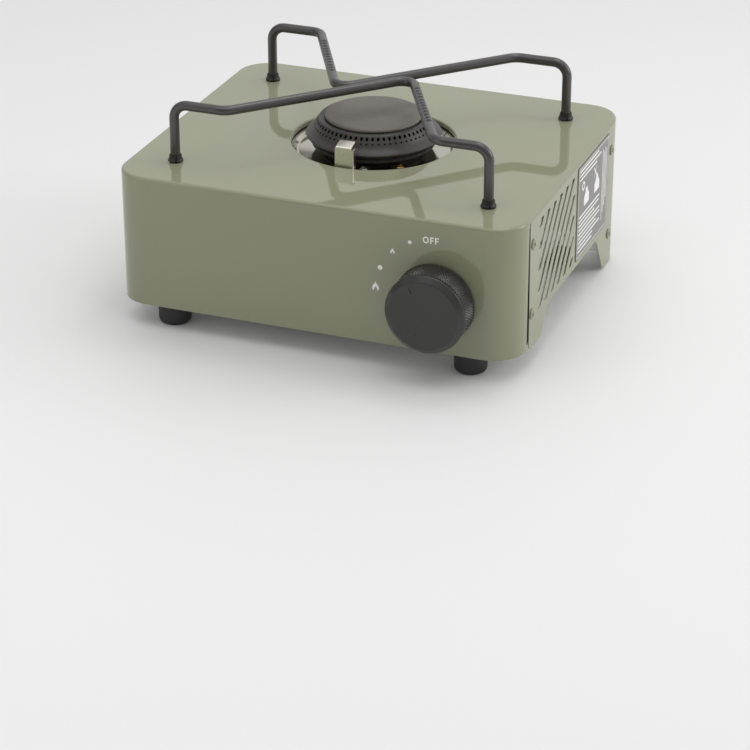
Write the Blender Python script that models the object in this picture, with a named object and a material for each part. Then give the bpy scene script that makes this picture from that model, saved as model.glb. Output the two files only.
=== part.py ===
"""Single-burner camping stove with an enclosed gas cartridge bay.

Units are metres, +Z is up, +Y points to the back and the knob faces -Y. The stove stands on Z = 0.
Every piece is built in the housing's own coordinates (plan centre of the housing, height above the
ground) under one empty, which puts the origin below the middle of the whole object.
"""

import math

import bmesh
import bpy
from mathutils import Matrix, Quaternion, Vector
from mathutils.geometry import tessellate_polygon

# Housing
WIDTH = 0.260
DEPTH = 0.2174
TOP = 0.0993  # upper surface of the top plate
WALL = 0.084  # height of the front wall
SHEET = 0.0006
CORNER = 0.021  # plan radius of the four corners
EDGE = 0.002  # radius of the pressed top edge
GAP = 0.0003  # clearance kept where pieces touch

# Burner
BURNER_X, BURNER_Y = -0.001, 0.0016
HOLE_R = 0.0515
CAP_R = 0.0304
CAP_TOP = 0.0174  # above the top plate
RIM_R = 0.0424

# Pan supports
ROD_R = 0.003
ROD_HEIGHT = 0.0372  # rod centre line above the top plate
LEG_X, LEG_Y = 0.1008, 0.0765
LEG_DEPTH = 0.012  # leg below the top plate's surface

# Knob, valve and cartridge share one axis along Y
KNOB_X = 0.080
KNOB_Z = TOP - 0.0508
KNOB_R = 0.0248
KNOB_OUT = 0.0226
KNOB_CLEAR = 0.001
STEM_R = 0.0035
CARTRIDGE_R = 0.034
CAM_BASE_R = 0.012
CAM_LIFT = 0.004
KNOB_TURN = math.radians(80)

# Side panels
SEAM = 0.0212  # from the front of the housing to the top of the panel's front edge
SEAM_OPENING = 0.0022  # how much further back the foot of that edge is
PANEL_WRAP = math.radians(65)  # how far the panel follows the rear corner
PANEL_FRONT_DROP = 0.0865
ARCH_DROP = 0.0708
LOBE_DROP = 0.0983
SCREW_PLACES = ((0.0292, 0.0182), (0.0292, 0.0633), (0.1915, 0.0192), (0.1915, 0.0773))
SLOT_FIELD = (0.0425, 0.1110, 0.0075, 0.0660)  # front, back, top, bottom
SLOT_PITCH = 0.0124
SLOT_LEAN = 0.89  # run towards the back for each unit of rise
SLOT_WIDTH = 0.0032
SLOTS = 10

# Feet
FOOT_R = 0.0101
FOOT_X = 0.0971
FOOT_FRONT = 0.0160
FOOT_REAR = 0.1875


def down(depth):
    """Height of a point that lies this far below the top plate's surface."""
    return TOP - depth


def back(distance):
    """Y of a point this far behind the housing's front face."""
    return distance - DEPTH / 2


# Sizes that follow from the ones above
FRONT = back(0)
BODY_Y = KNOB_OUT / 2  # the knob stands out at the front, so the housing sits this far back
BASE_LOW = down(WALL)
BASE_HIGH = BASE_LOW + 0.001
BAY_LEFT = KNOB_X - CARTRIDGE_R - 0.002
BAY_TOP = KNOB_Z + CARTRIDGE_R + 0.002
REGULATOR_R = 0.022
REGULATOR_LEFT = KNOB_X - REGULATOR_R - GAP
ELECTRODE_X = -0.0019
ELECTRODE_Y = BURNER_Y - RIM_R - 0.0034

# Smaller pieces
SCREW_R = 0.0015
GROMMET_NECK_R = 0.0038
ELECTRODE_R = 0.0017
LUG_R = 0.0405  # circle of the burner's screws
LUG_ANGLES = (math.radians(-78), math.radians(-46), math.radians(130))
PORTS = 32
TUBE_TURN = math.radians(23)
TUBE_LENGTH = 0.084
JET_Z = down(0.048)
JET_GAP = 0.0070  # from the mixing tube's mouth to the jet's flange


def clear_scene():
    for obj in list(bpy.data.objects):
        bpy.data.objects.remove(obj, do_unlink=True)


def material(name, colour, roughness, metallic=0.0):
    mat = bpy.data.materials.new(name)
    mat.use_nodes = True
    shader = mat.node_tree.nodes["Principled BSDF"]
    shader.inputs["Base Color"].default_value = (*colour, 1.0)
    shader.inputs["Roughness"].default_value = roughness
    shader.inputs["Metallic"].default_value = metallic
    return mat


# ---------------------------------------------------------------- outlines and paths


def circle(radius, sides, x=0.0, y=0.0):
    angles = [2 * math.pi * i / sides for i in range(sides)]
    return [(x + radius * math.cos(a), y + radius * math.sin(a)) for a in angles]


def rounded(corners, steps=3):
    """A closed outline with each (x, y, radius) corner turned into an arc."""
    outline = []
    for i, (x, y, radius) in enumerate(corners):
        corner = Vector((x, y))
        if radius == 0:
            outline.append((x, y))
            continue
        before = (Vector(corners[i - 1][:2]) - corner).normalized()
        after = (Vector(corners[(i + 1) % len(corners)][:2]) - corner).normalized()
        half = before.angle(after) / 2
        centre = corner + (before + after).normalized() * radius / math.sin(half)
        first = corner + before * radius / math.tan(half) - centre
        last = corner + after * radius / math.tan(half) - centre
        turn = math.atan2(first.x * last.y - first.y * last.x, first.dot(last))
        for k in range(steps + 1):
            arm = Matrix.Rotation(turn * k / steps, 2) @ first
            outline.append((centre.x + arm.x, centre.y + arm.y))
    return outline


def housing_outline(inset, steps=5):
    x, y, r = WIDTH / 2 - inset, DEPTH / 2 - inset, CORNER - inset
    return rounded([(-x, -y, r), (x, -y, r), (x, y, r), (-x, y, r)], steps)


def bent_path(points, steps=4):
    """An open 3D path through (x, y, z, bend radius) points, with each inner corner bent."""
    path = [Vector(points[0][:3])]
    for i in range(1, len(points) - 1):
        corner = Vector(points[i][:3])
        radius = points[i][3]
        before = (Vector(points[i - 1][:3]) - corner).normalized()
        after = (Vector(points[i + 1][:3]) - corner).normalized()
        half = before.angle(after) / 2
        centre = corner + (before + after).normalized() * radius / math.sin(half)
        first = corner + before * radius / math.tan(half) - centre
        last = corner + after * radius / math.tan(half) - centre
        axis = first.cross(last)
        for k in range(steps + 1):
            path.append(centre + Quaternion(axis, first.angle(last) * k / steps) @ first)
    path.append(Vector(points[-1][:3]))
    return path


# ---------------------------------------------------------------- solids


def ring_faces(bm, first, second):
    """Faces between two closed loops of equal length; a loop of one vertex is a pole."""
    count = max(len(first), len(second))
    if count == 1:
        return
    for i in range(count):
        j = (i + 1) % count
        if len(first) == 1:
            bm.faces.new((first[0], second[i], second[j]))
        elif len(second) == 1:
            bm.faces.new((first[i], first[j], second[0]))
        else:
            bm.faces.new((first[i], first[j], second[j], second[i]))


def add_lathe(bm, profile, sides, matrix=None):
    """Turn a closed (radius, height) profile about local Z."""
    matrix = matrix or Matrix()
    loops = []
    for radius, height in profile:
        if radius == 0:
            loops.append([bm.verts.new(matrix @ Vector((0, 0, height)))])
        else:
            loops.append([bm.verts.new(matrix @ Vector((x, y, height))) for x, y in circle(radius, sides)])
    for i in range(len(loops)):
        ring_faces(bm, loops[i - 1], loops[i])


def add_prism(bm, outline, low, high, holes=(), matrix=None):
    """Extrude an outline, with holes, from low to high along local Z."""
    matrix = matrix or Matrix()
    loops = [outline, *holes]
    levels = []
    for height in (low, high):
        levels.append([[bm.verts.new(matrix @ Vector((x, y, height))) for x, y in loop] for loop in loops])
    flat = [[vert for loop in level for vert in loop] for level in levels]
    for a, b, c in tessellate_polygon([[Vector((x, y, 0)) for x, y in loop] for loop in loops]):
        bm.faces.new((flat[0][a], flat[0][b], flat[0][c]))
        bm.faces.new((flat[1][a], flat[1][b], flat[1][c]))
    for lower, upper in zip(*levels):
        ring_faces(bm, lower, upper)


def add_pipe(bm, path, radius, bore=0.0, sides=12):
    """Sweep a round bar, or a tube when it has a bore, along a path that doesn't start along Y."""
    normal = Vector((0, 1, 0))
    outer, inner = [], []
    for i, point in enumerate(path):
        ahead = path[min(i + 1, len(path) - 1)] - point
        behind = point - path[max(i - 1, 0)]
        tangent = (ahead.normalized() + behind.normalized()).normalized()
        normal = (normal - tangent * normal.dot(tangent)).normalized()
        side = tangent.cross(normal)
        for r, rings in ((radius, outer), (bore, inner)):
            if r:
                rings.append([bm.verts.new(point + normal * x + side * y) for x, y in circle(r, sides)])
    for rings in (outer, inner):
        for i in range(1, len(rings)):
            ring_faces(bm, rings[i - 1], rings[i])
    if inner:
        ring_faces(bm, outer[0], inner[0])
        ring_faces(bm, outer[-1], inner[-1])
    else:
        bm.faces.new(outer[0])
        bm.faces.new(outer[-1])


def lathe(profile, sides=24):
    bm = bmesh.new()
    add_lathe(bm, profile, sides)
    return bm


def prism(outline, low, high, holes=()):
    bm = bmesh.new()
    add_prism(bm, outline, low, high, holes)
    return bm


def pipe(path, radius, bore=0.0, sides=12):
    bm = bmesh.new()
    add_pipe(bm, path, radius, bore, sides)
    return bm


def formed_sheet(outline, thickness, place, folds, holes=()):
    """A flat blank cut along its fold lines and then folded by place(along, up, depth)."""
    bm = prism(outline, 0, thickness, holes)
    for along in folds:
        everything = bm.verts[:] + bm.edges[:] + bm.faces[:]
        bmesh.ops.bisect_plane(bm, geom=everything, plane_co=(along, 0, 0), plane_no=(1, 0, 0))
    for vert in bm.verts:
        vert.co = place(*vert.co)
    return bm


def right_angle_fold(straight, radius):
    """Where a point of a blank goes when the blank turns a right angle after a straight run."""

    def fold(along, depth):
        if along <= straight:
            return along, depth
        turn = (along - straight) / radius
        if turn <= math.pi / 2:
            return straight + (radius - depth) * math.sin(turn), radius - (radius - depth) * math.cos(turn)
        return straight + radius - depth, radius + along - straight - radius * math.pi / 2

    return fold


def spread(start, end, count):
    return [start + (end - start) * i / (count - 1) for i in range(count)]


# ---------------------------------------------------------------- objects

def add(name, bm, mat, location=(0, 0, 0), rotation=(0, 0, 0), smooth=35):
    bmesh.ops.recalc_face_normals(bm, faces=bm.faces)
    mesh = bpy.data.meshes.new(name)
    bm.to_mesh(mesh)
    bm.free()
    mesh.shade_smooth()
    mesh.set_sharp_from_angle(angle=math.radians(smooth))
    mesh.materials.append(mat)
    obj = bpy.data.objects.new(name, mesh)
    obj.location = location
    obj.rotation_euler = rotation
    obj.parent = bpy.data.objects["stove"]
    bpy.context.scene.collection.objects.link(obj)
    return obj


def add_tool(name, bm, location=(0, 0, 0), rotation=(0, 0, 0)):
    """A shape that only cuts or joins another and isn't part of the stove."""
    tool = add(name, bm, MATERIALS["steel"], location, rotation)
    tool.hide_render = True
    tool.display_type = "WIRE"
    return tool


def boolean(obj, tool, operation="DIFFERENCE"):
    modifier = obj.modifiers.new(tool.name, "BOOLEAN")
    modifier.object = tool
    modifier.operation = operation


FACING_FRONT = (math.radians(90), 0, 0)  # local Z points to -Y, local Y points up


def along_y(x, y, z):
    """A frame for a round piece whose axis runs towards the front."""
    return Matrix.Translation((x, y, z)) @ Matrix.Rotation(math.radians(90), 4, "X")


# ---------------------------------------------------------------- housing


def seam_foot():
    """What is cut from the wall's lower corners beside the seams, to round them off."""
    radius, end, low = 0.0042, back(SEAM - GAP), down(WALL)
    arc = []
    for turn in spread(0, math.radians(90), 5):
        arc.append((end - radius + radius * math.sin(turn), low + radius * (1 - math.cos(turn))))
    return [*arc, (end + 0.001, low + radius), (end + 0.001, low - 0.001), (arc[0][0], low - 0.001)]


def top_shell():
    """Top plate, front wall and both front corners, pressed from one sheet."""
    bm = bmesh.new()
    bottom = down(WALL)
    steps = 3
    outer = [(0.0, bottom)]
    inner = [(SHEET, bottom)]
    for k in range(steps + 1):
        angle = math.radians(90) * k / steps
        rise, draw = math.sin(angle), 1 - math.cos(angle)
        outer.append((EDGE * draw, down(EDGE) + EDGE * rise))
        inner.append((SHEET + (EDGE - SHEET) * draw, down(EDGE) + (EDGE - SHEET) * rise))
    loops = []
    for inset, height in outer + inner[::-1]:
        loops.append([bm.verts.new((x, y, height)) for x, y in housing_outline(inset)])
    for i in range(len(loops)):
        if i != len(outer):
            ring_faces(bm, loops[i - 1], loops[i])
    bm.faces.new(loops[len(outer) - 1])
    bm.faces.new(loops[len(outer)])
    shell = add("top_shell", bm, MATERIALS["paint"])

    cut = bmesh.new()
    reach = WIDTH / 2 + 0.01
    side_walls = [(-reach, back(SEAM - GAP)), (reach, back(SEAM - GAP)), (reach, reach), (-reach, reach)]
    add_prism(cut, side_walls, down(WALL) - 0.01, down(EDGE))
    through = (down(EDGE - 0.0002), TOP + 0.002)
    add_prism(cut, circle(HOLE_R, 40, BURNER_X, BURNER_Y), *through)
    for sx in (-1, 1):
        for sy in (-1, 1):
            add_prism(cut, circle(GROMMET_NECK_R + GAP, 10, sx * LEG_X, sy * LEG_Y), *through)
    stem_hole = circle(STEM_R + 0.002, 16)
    add_prism(cut, stem_hole, -0.004, 0.004, matrix=along_y(KNOB_X, FRONT, KNOB_Z))
    boolean(shell, add_tool("shell_cutter", cut))
    across = Matrix.Rotation(math.radians(90), 4, "Z") @ Matrix.Rotation(math.radians(90), 4, "X")
    corners = bmesh.new()
    add_prism(corners, seam_foot(), -reach, reach, matrix=across)
    boolean(shell, add_tool("seam_cutter", corners))

    lip = [
        (HOLE_R + 0.0004, -0.0002),
        (HOLE_R - 0.0004, 0.0),
        (HOLE_R - 0.0011, -0.0006),
        (HOLE_R - 0.0013, -0.0030),
        (HOLE_R - 0.0004, -0.0030),
        (HOLE_R + 0.0004, -0.0008),
    ]
    boolean(shell, add_tool("burner_lip", lathe(lip, 40), (BURNER_X, BURNER_Y, TOP)), "UNION")


def slot_outlines():
    """Slanted slots, each cut off where it meets the edge of the field."""
    front, rear, top, bottom = SLOT_FIELD
    half = SLOT_WIDTH / 2 * math.hypot(1, SLOT_LEAN)
    slots = []
    first = front + 0.0045
    for k in range(SLOTS):
        middle = first + k * SLOT_PITCH
        high = min(0.0, (rear - middle) / SLOT_LEAN)
        low = max(top - bottom, (front - middle) / SLOT_LEAN)
        ends = [(middle + SLOT_LEAN * rise, down(top) + rise) for rise in (low, high)]
        (y0, z0), (y1, z1) = ends
        slots.append([(y0 - half, z0), (y0 + half, z0), (y1 + half, z1), (y1 - half, z1)])
    return slots


def side_panel(side, name):
    """Flat side with vent slots and a foot lobe that follows the rear corner."""
    end = DEPTH - CORNER + CORNER * PANEL_WRAP
    top = down(EDGE + GAP)
    outline = rounded(
        [
            (SEAM, top, 0),
            (SEAM + SEAM_OPENING, down(PANEL_FRONT_DROP), 0.004),
            (0.0492, down(PANEL_FRONT_DROP), 0.008),
            (0.0605, down(ARCH_DROP), 0.008),
            (0.1640, down(ARCH_DROP), 0.010),
            (0.1815, down(LOBE_DROP), 0.008),
            (end, down(LOBE_DROP), 0.003),
            (end, top, 0),
        ]
    )
    holes = slot_outlines()
    for y, drop in SCREW_PLACES:
        holes.append(circle(SCREW_R + GAP, 8, y, down(drop)))
    fold = right_angle_fold(DEPTH - CORNER, CORNER)

    def place(along, up, depth):
        y, inward = fold(along, depth)
        return side * (WIDTH / 2 - inward), back(y), up

    folds = [DEPTH - CORNER + CORNER * angle for angle in spread(0, PANEL_WRAP, 5)[:-1]]
    add(name, formed_sheet(outline, SHEET, place, folds, holes), MATERIALS["paint"])


def rear_panel():
    """Back wall: full height on the left and a bridge above the cartridge opening on the right."""
    flat = WIDTH / 2 - CORNER
    end = flat + CORNER * (math.radians(90) - PANEL_WRAP) - GAP
    outline = rounded(
        [
            (-end, down(EDGE + GAP), 0),
            (-end, down(WALL), 0.002),
            (BAY_LEFT, down(WALL), 0.002),
            (BAY_LEFT, BAY_TOP, 0.012),
            (end, BAY_TOP, 0.002),
            (end, down(EDGE + GAP), 0),
        ]
    )

    def place(along, up, depth):
        x = abs(along)
        if x <= flat:
            return along, DEPTH / 2 - depth, up
        turn = (x - flat) / CORNER
        x = flat + (CORNER - depth) * math.sin(turn)
        return math.copysign(x, along), DEPTH / 2 - CORNER + (CORNER - depth) * math.cos(turn), up

    folds = [s * f for s in (-1, 1) for f in spread(flat, end, 4)[:-1]]
    add("rear_panel", formed_sheet(outline, SHEET, place, folds), MATERIALS["paint"])


def base_plate():
    """Floor of the housing with cooling slots, left open under the cartridge bay."""
    x, near, far = WIDTH / 2 - 0.0022, back(0.0016), back(DEPTH - 0.0016)
    outline = rounded(
        [
            (-x, near, CORNER - 0.0016),
            (x, near, CORNER - 0.0016),
            (x, back(0.048), 0.003),
            (BAY_LEFT, back(0.048), 0.006),
            (BAY_LEFT, far, 0.003),
            (-x, far, CORNER - 0.0016),
        ]
    )
    slots = []
    for k in range(-2, 3):
        left, right = BURNER_X + k * 0.014 - 0.003, BURNER_X + k * 0.014 + 0.003
        near_end, far_end = BURNER_Y - 0.026, BURNER_Y + 0.026
        slots.append([(left, near_end), (right, near_end), (right, far_end), (left, far_end)])
    add("base_plate", prism(outline, BASE_LOW, BASE_HIGH, slots), MATERIALS["galvanised"])


def corner_brackets():
    """Folded strips behind the panel seams that take the panel screws."""
    reach, straight, radius = 0.010, 0.0105, 0.0025
    length = straight + radius * math.pi / 2 + reach
    for side, hand in ((1, "right"), (-1, "left")):
        for end, start, heading in (("front", 0.0235, 1), ("rear", 0.1975, -1)):
            shortened = end == "rear" and side == 1
            low = 0.068 if shortened else 0.0805
            spots = SCREW_PLACES[:2] if end == "front" else SCREW_PLACES[2:]
            if shortened:
                spots = spots[:1]
            holes = [circle(SCREW_R + GAP, 8, abs(y - start), down(drop)) for y, drop in spots]
            fold = right_angle_fold(straight, radius)

            def place(along, up, depth):
                y, inward = fold(along, depth)
                return side * (WIDTH / 2 - SHEET - GAP - inward), back(start + heading * y), up

            outline = [(0, down(0.012)), (0, down(low)), (length, down(low)), (length, down(0.012))]
            folds = [straight + radius * angle for angle in spread(0, math.pi / 2, 3)]
            name = f"corner_bracket_{end}_{hand}"
            add(name, formed_sheet(outline, 0.0012, place, folds, holes), MATERIALS["galvanised"])


def foot_bracket():
    """Ledge for the rear right foot, which stands beside the open cartridge bay."""
    outer, inner = WIDTH / 2 - SHEET - GAP, 0.086
    thick = 0.0012
    low, high = BASE_LOW, down(0.0705)
    section = [
        (inner, low),
        (outer, low),
        (outer, high),
        (outer - thick, high),
        (outer - thick, low + thick),
        (inner, low + thick),
    ]
    bracket = prism(section, -back(0.198), -back(0.1765))
    bracket = add("foot_bracket", bracket, MATERIALS["galvanised"], rotation=FACING_FRONT)
    y, drop = SCREW_PLACES[3]
    turn = Matrix.Translation((outer, back(y), down(drop))) @ Matrix.Rotation(math.radians(90), 4, "Y")
    cut = bmesh.new()
    add_prism(cut, circle(SCREW_R + GAP, 8), -0.004, 0.004, matrix=turn)
    boolean(bracket, add_tool("foot_bracket_cutter", cut))


def panel_screws():
    """Eight pan-head screws, four on each side panel."""
    head_r, head_h, shank = 0.0033, 0.0013, 0.0055
    rest = WIDTH / 2 + GAP
    profile = [
        (0, head_h),
        (head_r * 0.7, head_h),
        (head_r, head_h * 0.45),
        (head_r, 0),
        (SCREW_R, 0),
        (SCREW_R, -shank),
        (0, -shank),
    ]
    for side, hand in ((1, "right"), (-1, "left")):
        for k, (y, drop) in enumerate(SCREW_PLACES, 1):
            where = (side * rest, back(y), down(drop))
            turn = (0, side * math.radians(90), 0)
            add(f"panel_screw_{hand}_{k}", lathe(profile, 10), MATERIALS["paint"], where, turn)


def rating_label():
    """Thin plate on the right panel, behind the vent slots."""
    front, rear, low, high = 0.1177, 0.1837, down(0.067), down(0.0049)
    outline = [(front, low), (rear, low), (rear, high), (front, high)]

    def place(along, up, depth):
        return WIDTH / 2 + 0.0005 - depth, back(along), up

    add("rating_label", formed_sheet(outline, 0.0004, place, ()), MATERIALS["label"])


def feet():
    height = down(WALL) - GAP
    profile = [
        (0, 0.0015),
        (0.004, 0.0015),
        (0.0045, 0),
        (FOOT_R - 0.0022, 0),
        (FOOT_R - 0.0006, 0.0010),
        (FOOT_R, 0.0028),
        (FOOT_R + 0.0003, height - 0.0035),
        (FOOT_R + 0.0010, height - 0.0028),
        (FOOT_R + 0.0010, height),
        (0, height),
    ]
    for name, x, y in (
        ("foot_front_left", -FOOT_X, FOOT_FRONT),
        ("foot_front_right", FOOT_X, FOOT_FRONT),
        ("foot_rear_left", -FOOT_X, FOOT_REAR),
        ("foot_rear_right", FOOT_X, FOOT_REAR),
    ):
        add(name, lathe(profile, 14), MATERIALS["rubber"], (x, back(y), 0))


# ---------------------------------------------------------------- pan supports


def support_grommets():
    """Flanged sockets in the top plate that hold the rods' legs."""
    bore = ROD_R + GAP
    floor = -LEG_DEPTH - 0.0006
    profile = [
        (0, floor - 0.0014),
        (GROMMET_NECK_R, floor - 0.0014),
        (GROMMET_NECK_R, GAP),
        (0.0048, GAP),
        (0.0048, 0.0014),
        (0.0043, 0.0022),
        (0.0041, 0.0052),
        (bore, 0.0052),
        (bore, floor),
        (0, floor),
    ]
    for sx, hand in ((-1, "left"), (1, "right")):
        for sy, end in ((-1, "front"), (1, "rear")):
            where = (sx * LEG_X, sy * LEG_Y, TOP)
            add(f"grommet_{end}_{hand}", lathe(profile, 12), MATERIALS["black_plastic"], where)


def pan_supports():
    """Two equal bent rods, the second turned half round, whose long runs pass side by side."""
    elbow_x = 0.0665
    tip_x, tip_y = 0.0190, 0.0160
    path = bent_path(
        [
            (-LEG_X, -LEG_Y, -LEG_DEPTH, 0),
            (-LEG_X, -LEG_Y, ROD_HEIGHT, 0.009),
            (-elbow_x, -LEG_Y, ROD_HEIGHT, 0.012),
            (tip_x, tip_y, ROD_HEIGHT, 0.008),
            (elbow_x, -LEG_Y, ROD_HEIGHT, 0.010),
            (LEG_X, -LEG_Y, ROD_HEIGHT, 0.009),
            (LEG_X, -LEG_Y, -LEG_DEPTH, 0),
        ]
    )
    for name, turn in (("pan_support_front", 0), ("pan_support_rear", math.pi)):
        add(name, pipe(path, ROD_R, sides=10), MATERIALS["enamel"], (0, 0, TOP), (0, 0, turn))


# ---------------------------------------------------------------- burner


def burner():
    """Drip bowl, cast head, ported ring, cap and the screws that hold the head."""
    place = (BURNER_X, BURNER_Y, TOP)
    shelf = -0.0065
    bowl_profile = [
        (0.0560, -0.0043),
        (0.0495, -0.0043),
        (0.0472, shelf - 0.0008),
        (0.0345, shelf - 0.0008),
        (0.0345, -0.0130),
        (0.0337, -0.0130),
        (0.0337, shelf),
        (0.0475, shelf),
        (0.0498, -0.0035),
        (0.0560, -0.0035),
    ]
    bowl = add("burner_bowl", lathe(bowl_profile, 32), MATERIALS["bright_steel"], place)
    cut = bmesh.new()
    add_prism(cut, circle(ELECTRODE_R + GAP, 12, ELECTRODE_X, ELECTRODE_Y), down(0.009), down(0.005))
    boolean(bowl, add_tool("bowl_cutter", cut))

    head_profile = [
        (0.0390, 0.0010),
        (0.0390, -0.0010),
        (0.0330, -0.0035),
        (0.0310, -0.0060),
        (0.0310, -0.0110),
        (0.0150, -0.0150),
        (0.0120, -0.0180),
        (0.0120, -0.0340),
        (0.0095, -0.0340),
        (0.0095, -0.0160),
        (0.0150, -0.0125),
        (0.0285, -0.0090),
        (0.0290, -0.0040),
        (0.0365, 0.0010),
    ]
    head = add("burner_head", lathe(head_profile, 28), MATERIALS["cast"], place)
    lugs = bmesh.new()
    for angle in LUG_ANGLES:
        turn = Matrix.Translation(place) @ Matrix.Rotation(angle, 4, "Z")
        half, end = 0.0035, LUG_R + 0.0040
        lug = rounded([(0.030, -half, 0), (end, -half, 0.003), (end, half, 0.003), (0.030, half, 0)], 2)
        add_prism(lugs, lug, shelf + GAP, shelf + 0.0018, matrix=turn)
    boolean(head, add_tool("head_lugs", lugs), "UNION")

    screw = [(0, 0.0016), (0.0017, 0.0016), (0.0024, 0.0008), (0.0024, GAP), (0, GAP)]
    for k, angle in enumerate(LUG_ANGLES, 1):
        x, y = BURNER_X + LUG_R * math.cos(angle), BURNER_Y + LUG_R * math.sin(angle)
        where = (x, y, TOP + shelf + 0.0018)
        add(f"burner_screw_{k}", lathe(screw, 10), MATERIALS["brass" if k == 2 else "steel"], where)

    ring_profile = [
        (CAP_R - 0.0006, 0.0146),
        (0.0322, 0.0152),
        (0.0342, 0.0148),
        (0.0360, 0.0122),
        (0.0373, 0.0100),
        (0.0388, 0.0078),
        (0.0412, 0.0062),
        (RIM_R, 0.0048),
        (0.0406, 0.0028),
        (0.0386, 0.0013),
        (0.0365, 0.0013),
        (0.0352, 0.0105),
        (0.0330, 0.0133),
        (CAP_R - 0.0006, 0.0133),
    ]
    ring = add("burner_ring", lathe(ring_profile, PORTS), MATERIALS["cast"], place)
    ports = bmesh.new()
    for k in range(PORTS):
        turn = Matrix.Translation(place) @ Matrix.Rotation(2 * math.pi * (k + 0.5) / PORTS, 4, "Z")
        port = [(0.0315, -0.0008), (0.042, -0.0008), (0.042, 0.0008), (0.0315, 0.0008)]
        add_prism(ports, port, 0.0124, 0.0142, matrix=turn)
    boolean(ring, add_tool("port_cutter", ports))

    cap_profile = [
        (0, CAP_TOP),
        (CAP_R - 0.0012, CAP_TOP),
        (CAP_R - 0.0003, CAP_TOP - 0.0005),
        (CAP_R, CAP_TOP - 0.0014),
        (CAP_R - 0.0003, 0.0156),
        (CAP_R - 0.0012, 0.0149),
        (0.0290, 0.0120),
        (0.0275, 0.0120),
        (0.0275, 0.0145),
        (0, 0.0145),
    ]
    add("burner_cap", lathe(cap_profile, 32), MATERIALS["cast"], place)


def mixing_tube():
    """Venturi tube from the jet to the bottom of the burner head."""
    path = bent_path(
        [
            (BURNER_X, BURNER_Y, down(0.0343), 0),
            (BURNER_X, BURNER_Y, JET_Z, 0.0125),
            (*tube_point(TUBE_LENGTH), JET_Z, 0),
        ],
        6,
    )
    add("mixing_tube", pipe(path, 0.0095, 0.008, 12), MATERIALS["aluminium"])


def tube_point(distance):
    """Plan position this far from the burner's axis towards the jet."""
    return BURNER_X + distance * math.sin(TUBE_TURN), BURNER_Y - distance * math.cos(TUBE_TURN)


def gas_line():
    """Brass jet at the tube's mouth and the pipe that feeds it from the regulator."""
    jet_tail = 0.004
    jet = [
        (0, 0.006),
        (0.0012, 0.006),
        (0.0016, 0.003),
        (0.0042, 0.002),
        (0.0042, -jet_tail),
        (0, -jet_tail),
    ]
    x, y = tube_point(TUBE_LENGTH + JET_GAP)
    turn = Matrix.Rotation(TUBE_TURN, 3, "Z") @ Matrix.Rotation(math.radians(-90), 3, "X")
    add("gas_jet", lathe(jet, 6), MATERIALS["brass"], (x, y, JET_Z), turn.to_euler())

    start = tube_point(TUBE_LENGTH + JET_GAP + jet_tail + GAP)
    corner = tube_point(TUBE_LENGTH + JET_GAP + 0.011)
    end = (REGULATOR_LEFT, corner[1], JET_Z, 0)
    path = bent_path([(*start, JET_Z, 0), (*corner, JET_Z, 0.004), end], 4)
    add("gas_pipe", pipe(path, 0.0016, sides=6), MATERIALS["aluminium"])


# ---------------------------------------------------------------- valve, regulator and cartridge bay


def valve_train():
    """Knob and stem on one axis with the regulator and the cartridge seat behind them."""
    here = (KNOB_X, back(0), KNOB_Z)
    face, rim = KNOB_OUT, KNOB_OUT - 0.0030
    knob = [
        (0, face),
        (KNOB_R - 0.0034, face),
        (KNOB_R, rim),
        (KNOB_R, KNOB_CLEAR),
        (KNOB_R - 0.0022, KNOB_CLEAR),
        (KNOB_R - 0.0022, rim - 0.001),
        (0.0080, rim - 0.001),
        (0.0080, 0.0025),
        (STEM_R + GAP, 0.0025),
        (STEM_R + GAP, 0.0146),
        (0, 0.0146),
    ]
    add("knob", lathe(knob, 32), MATERIALS["black_plastic"], here, FACING_FRONT)
    stem = [(0, 0.0142), (STEM_R, 0.0142), (STEM_R, -0.0155), (0, -0.0155)]
    add("valve_stem", lathe(stem, 12), MATERIALS["brass"], here, FACING_FRONT)

    half, low, high = 0.024, BASE_HIGH + GAP, KNOB_Z + 0.024
    plate = rounded(
        [
            (KNOB_X - half, low, 0),
            (KNOB_X + half, low, 0),
            (KNOB_X + half, high, 0.006),
            (KNOB_X - half, high, 0.006),
        ]
    )
    hole = circle(STEM_R + 0.0015, 12, KNOB_X, KNOB_Z)
    plate = prism(plate, -back(0.0145), -back(0.0130), [hole])
    add("regulator_bracket", plate, MATERIALS["galvanised"], rotation=FACING_FRONT)

    body = [
        (0, -0.0158),
        (REGULATOR_R - 0.0030, -0.0158),
        (REGULATOR_R, -0.0185),
        (REGULATOR_R, -0.0360),
        (0, -0.0360),
    ]
    add("regulator_body", lathe(body, 24), MATERIALS["aluminium"], here, FACING_FRONT)
    cover = [
        (0, -0.0363),
        (0.0236, -0.0363),
        (0.0236, -0.0400),
        (0.0090, -0.0400),
        (0.0090, -0.0470),
        (0.0030, -0.0470),
        (0.0030, -0.0420),
        (0, -0.0420),
    ]
    add("regulator_cover", lathe(cover, 20), MATERIALS["aluminium"], here, FACING_FRONT)
    seat = [
        (0.0270, -0.0403),
        (0.0270, -0.0460),
        (0.0255, -0.0475),
        (0.0115, -0.0475),
        (0.0095, -0.0460),
        (0.0095, -0.0403),
    ]
    add("cartridge_seat", lathe(seat, 20), MATERIALS["steel"], here, FACING_FRONT)


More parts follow.
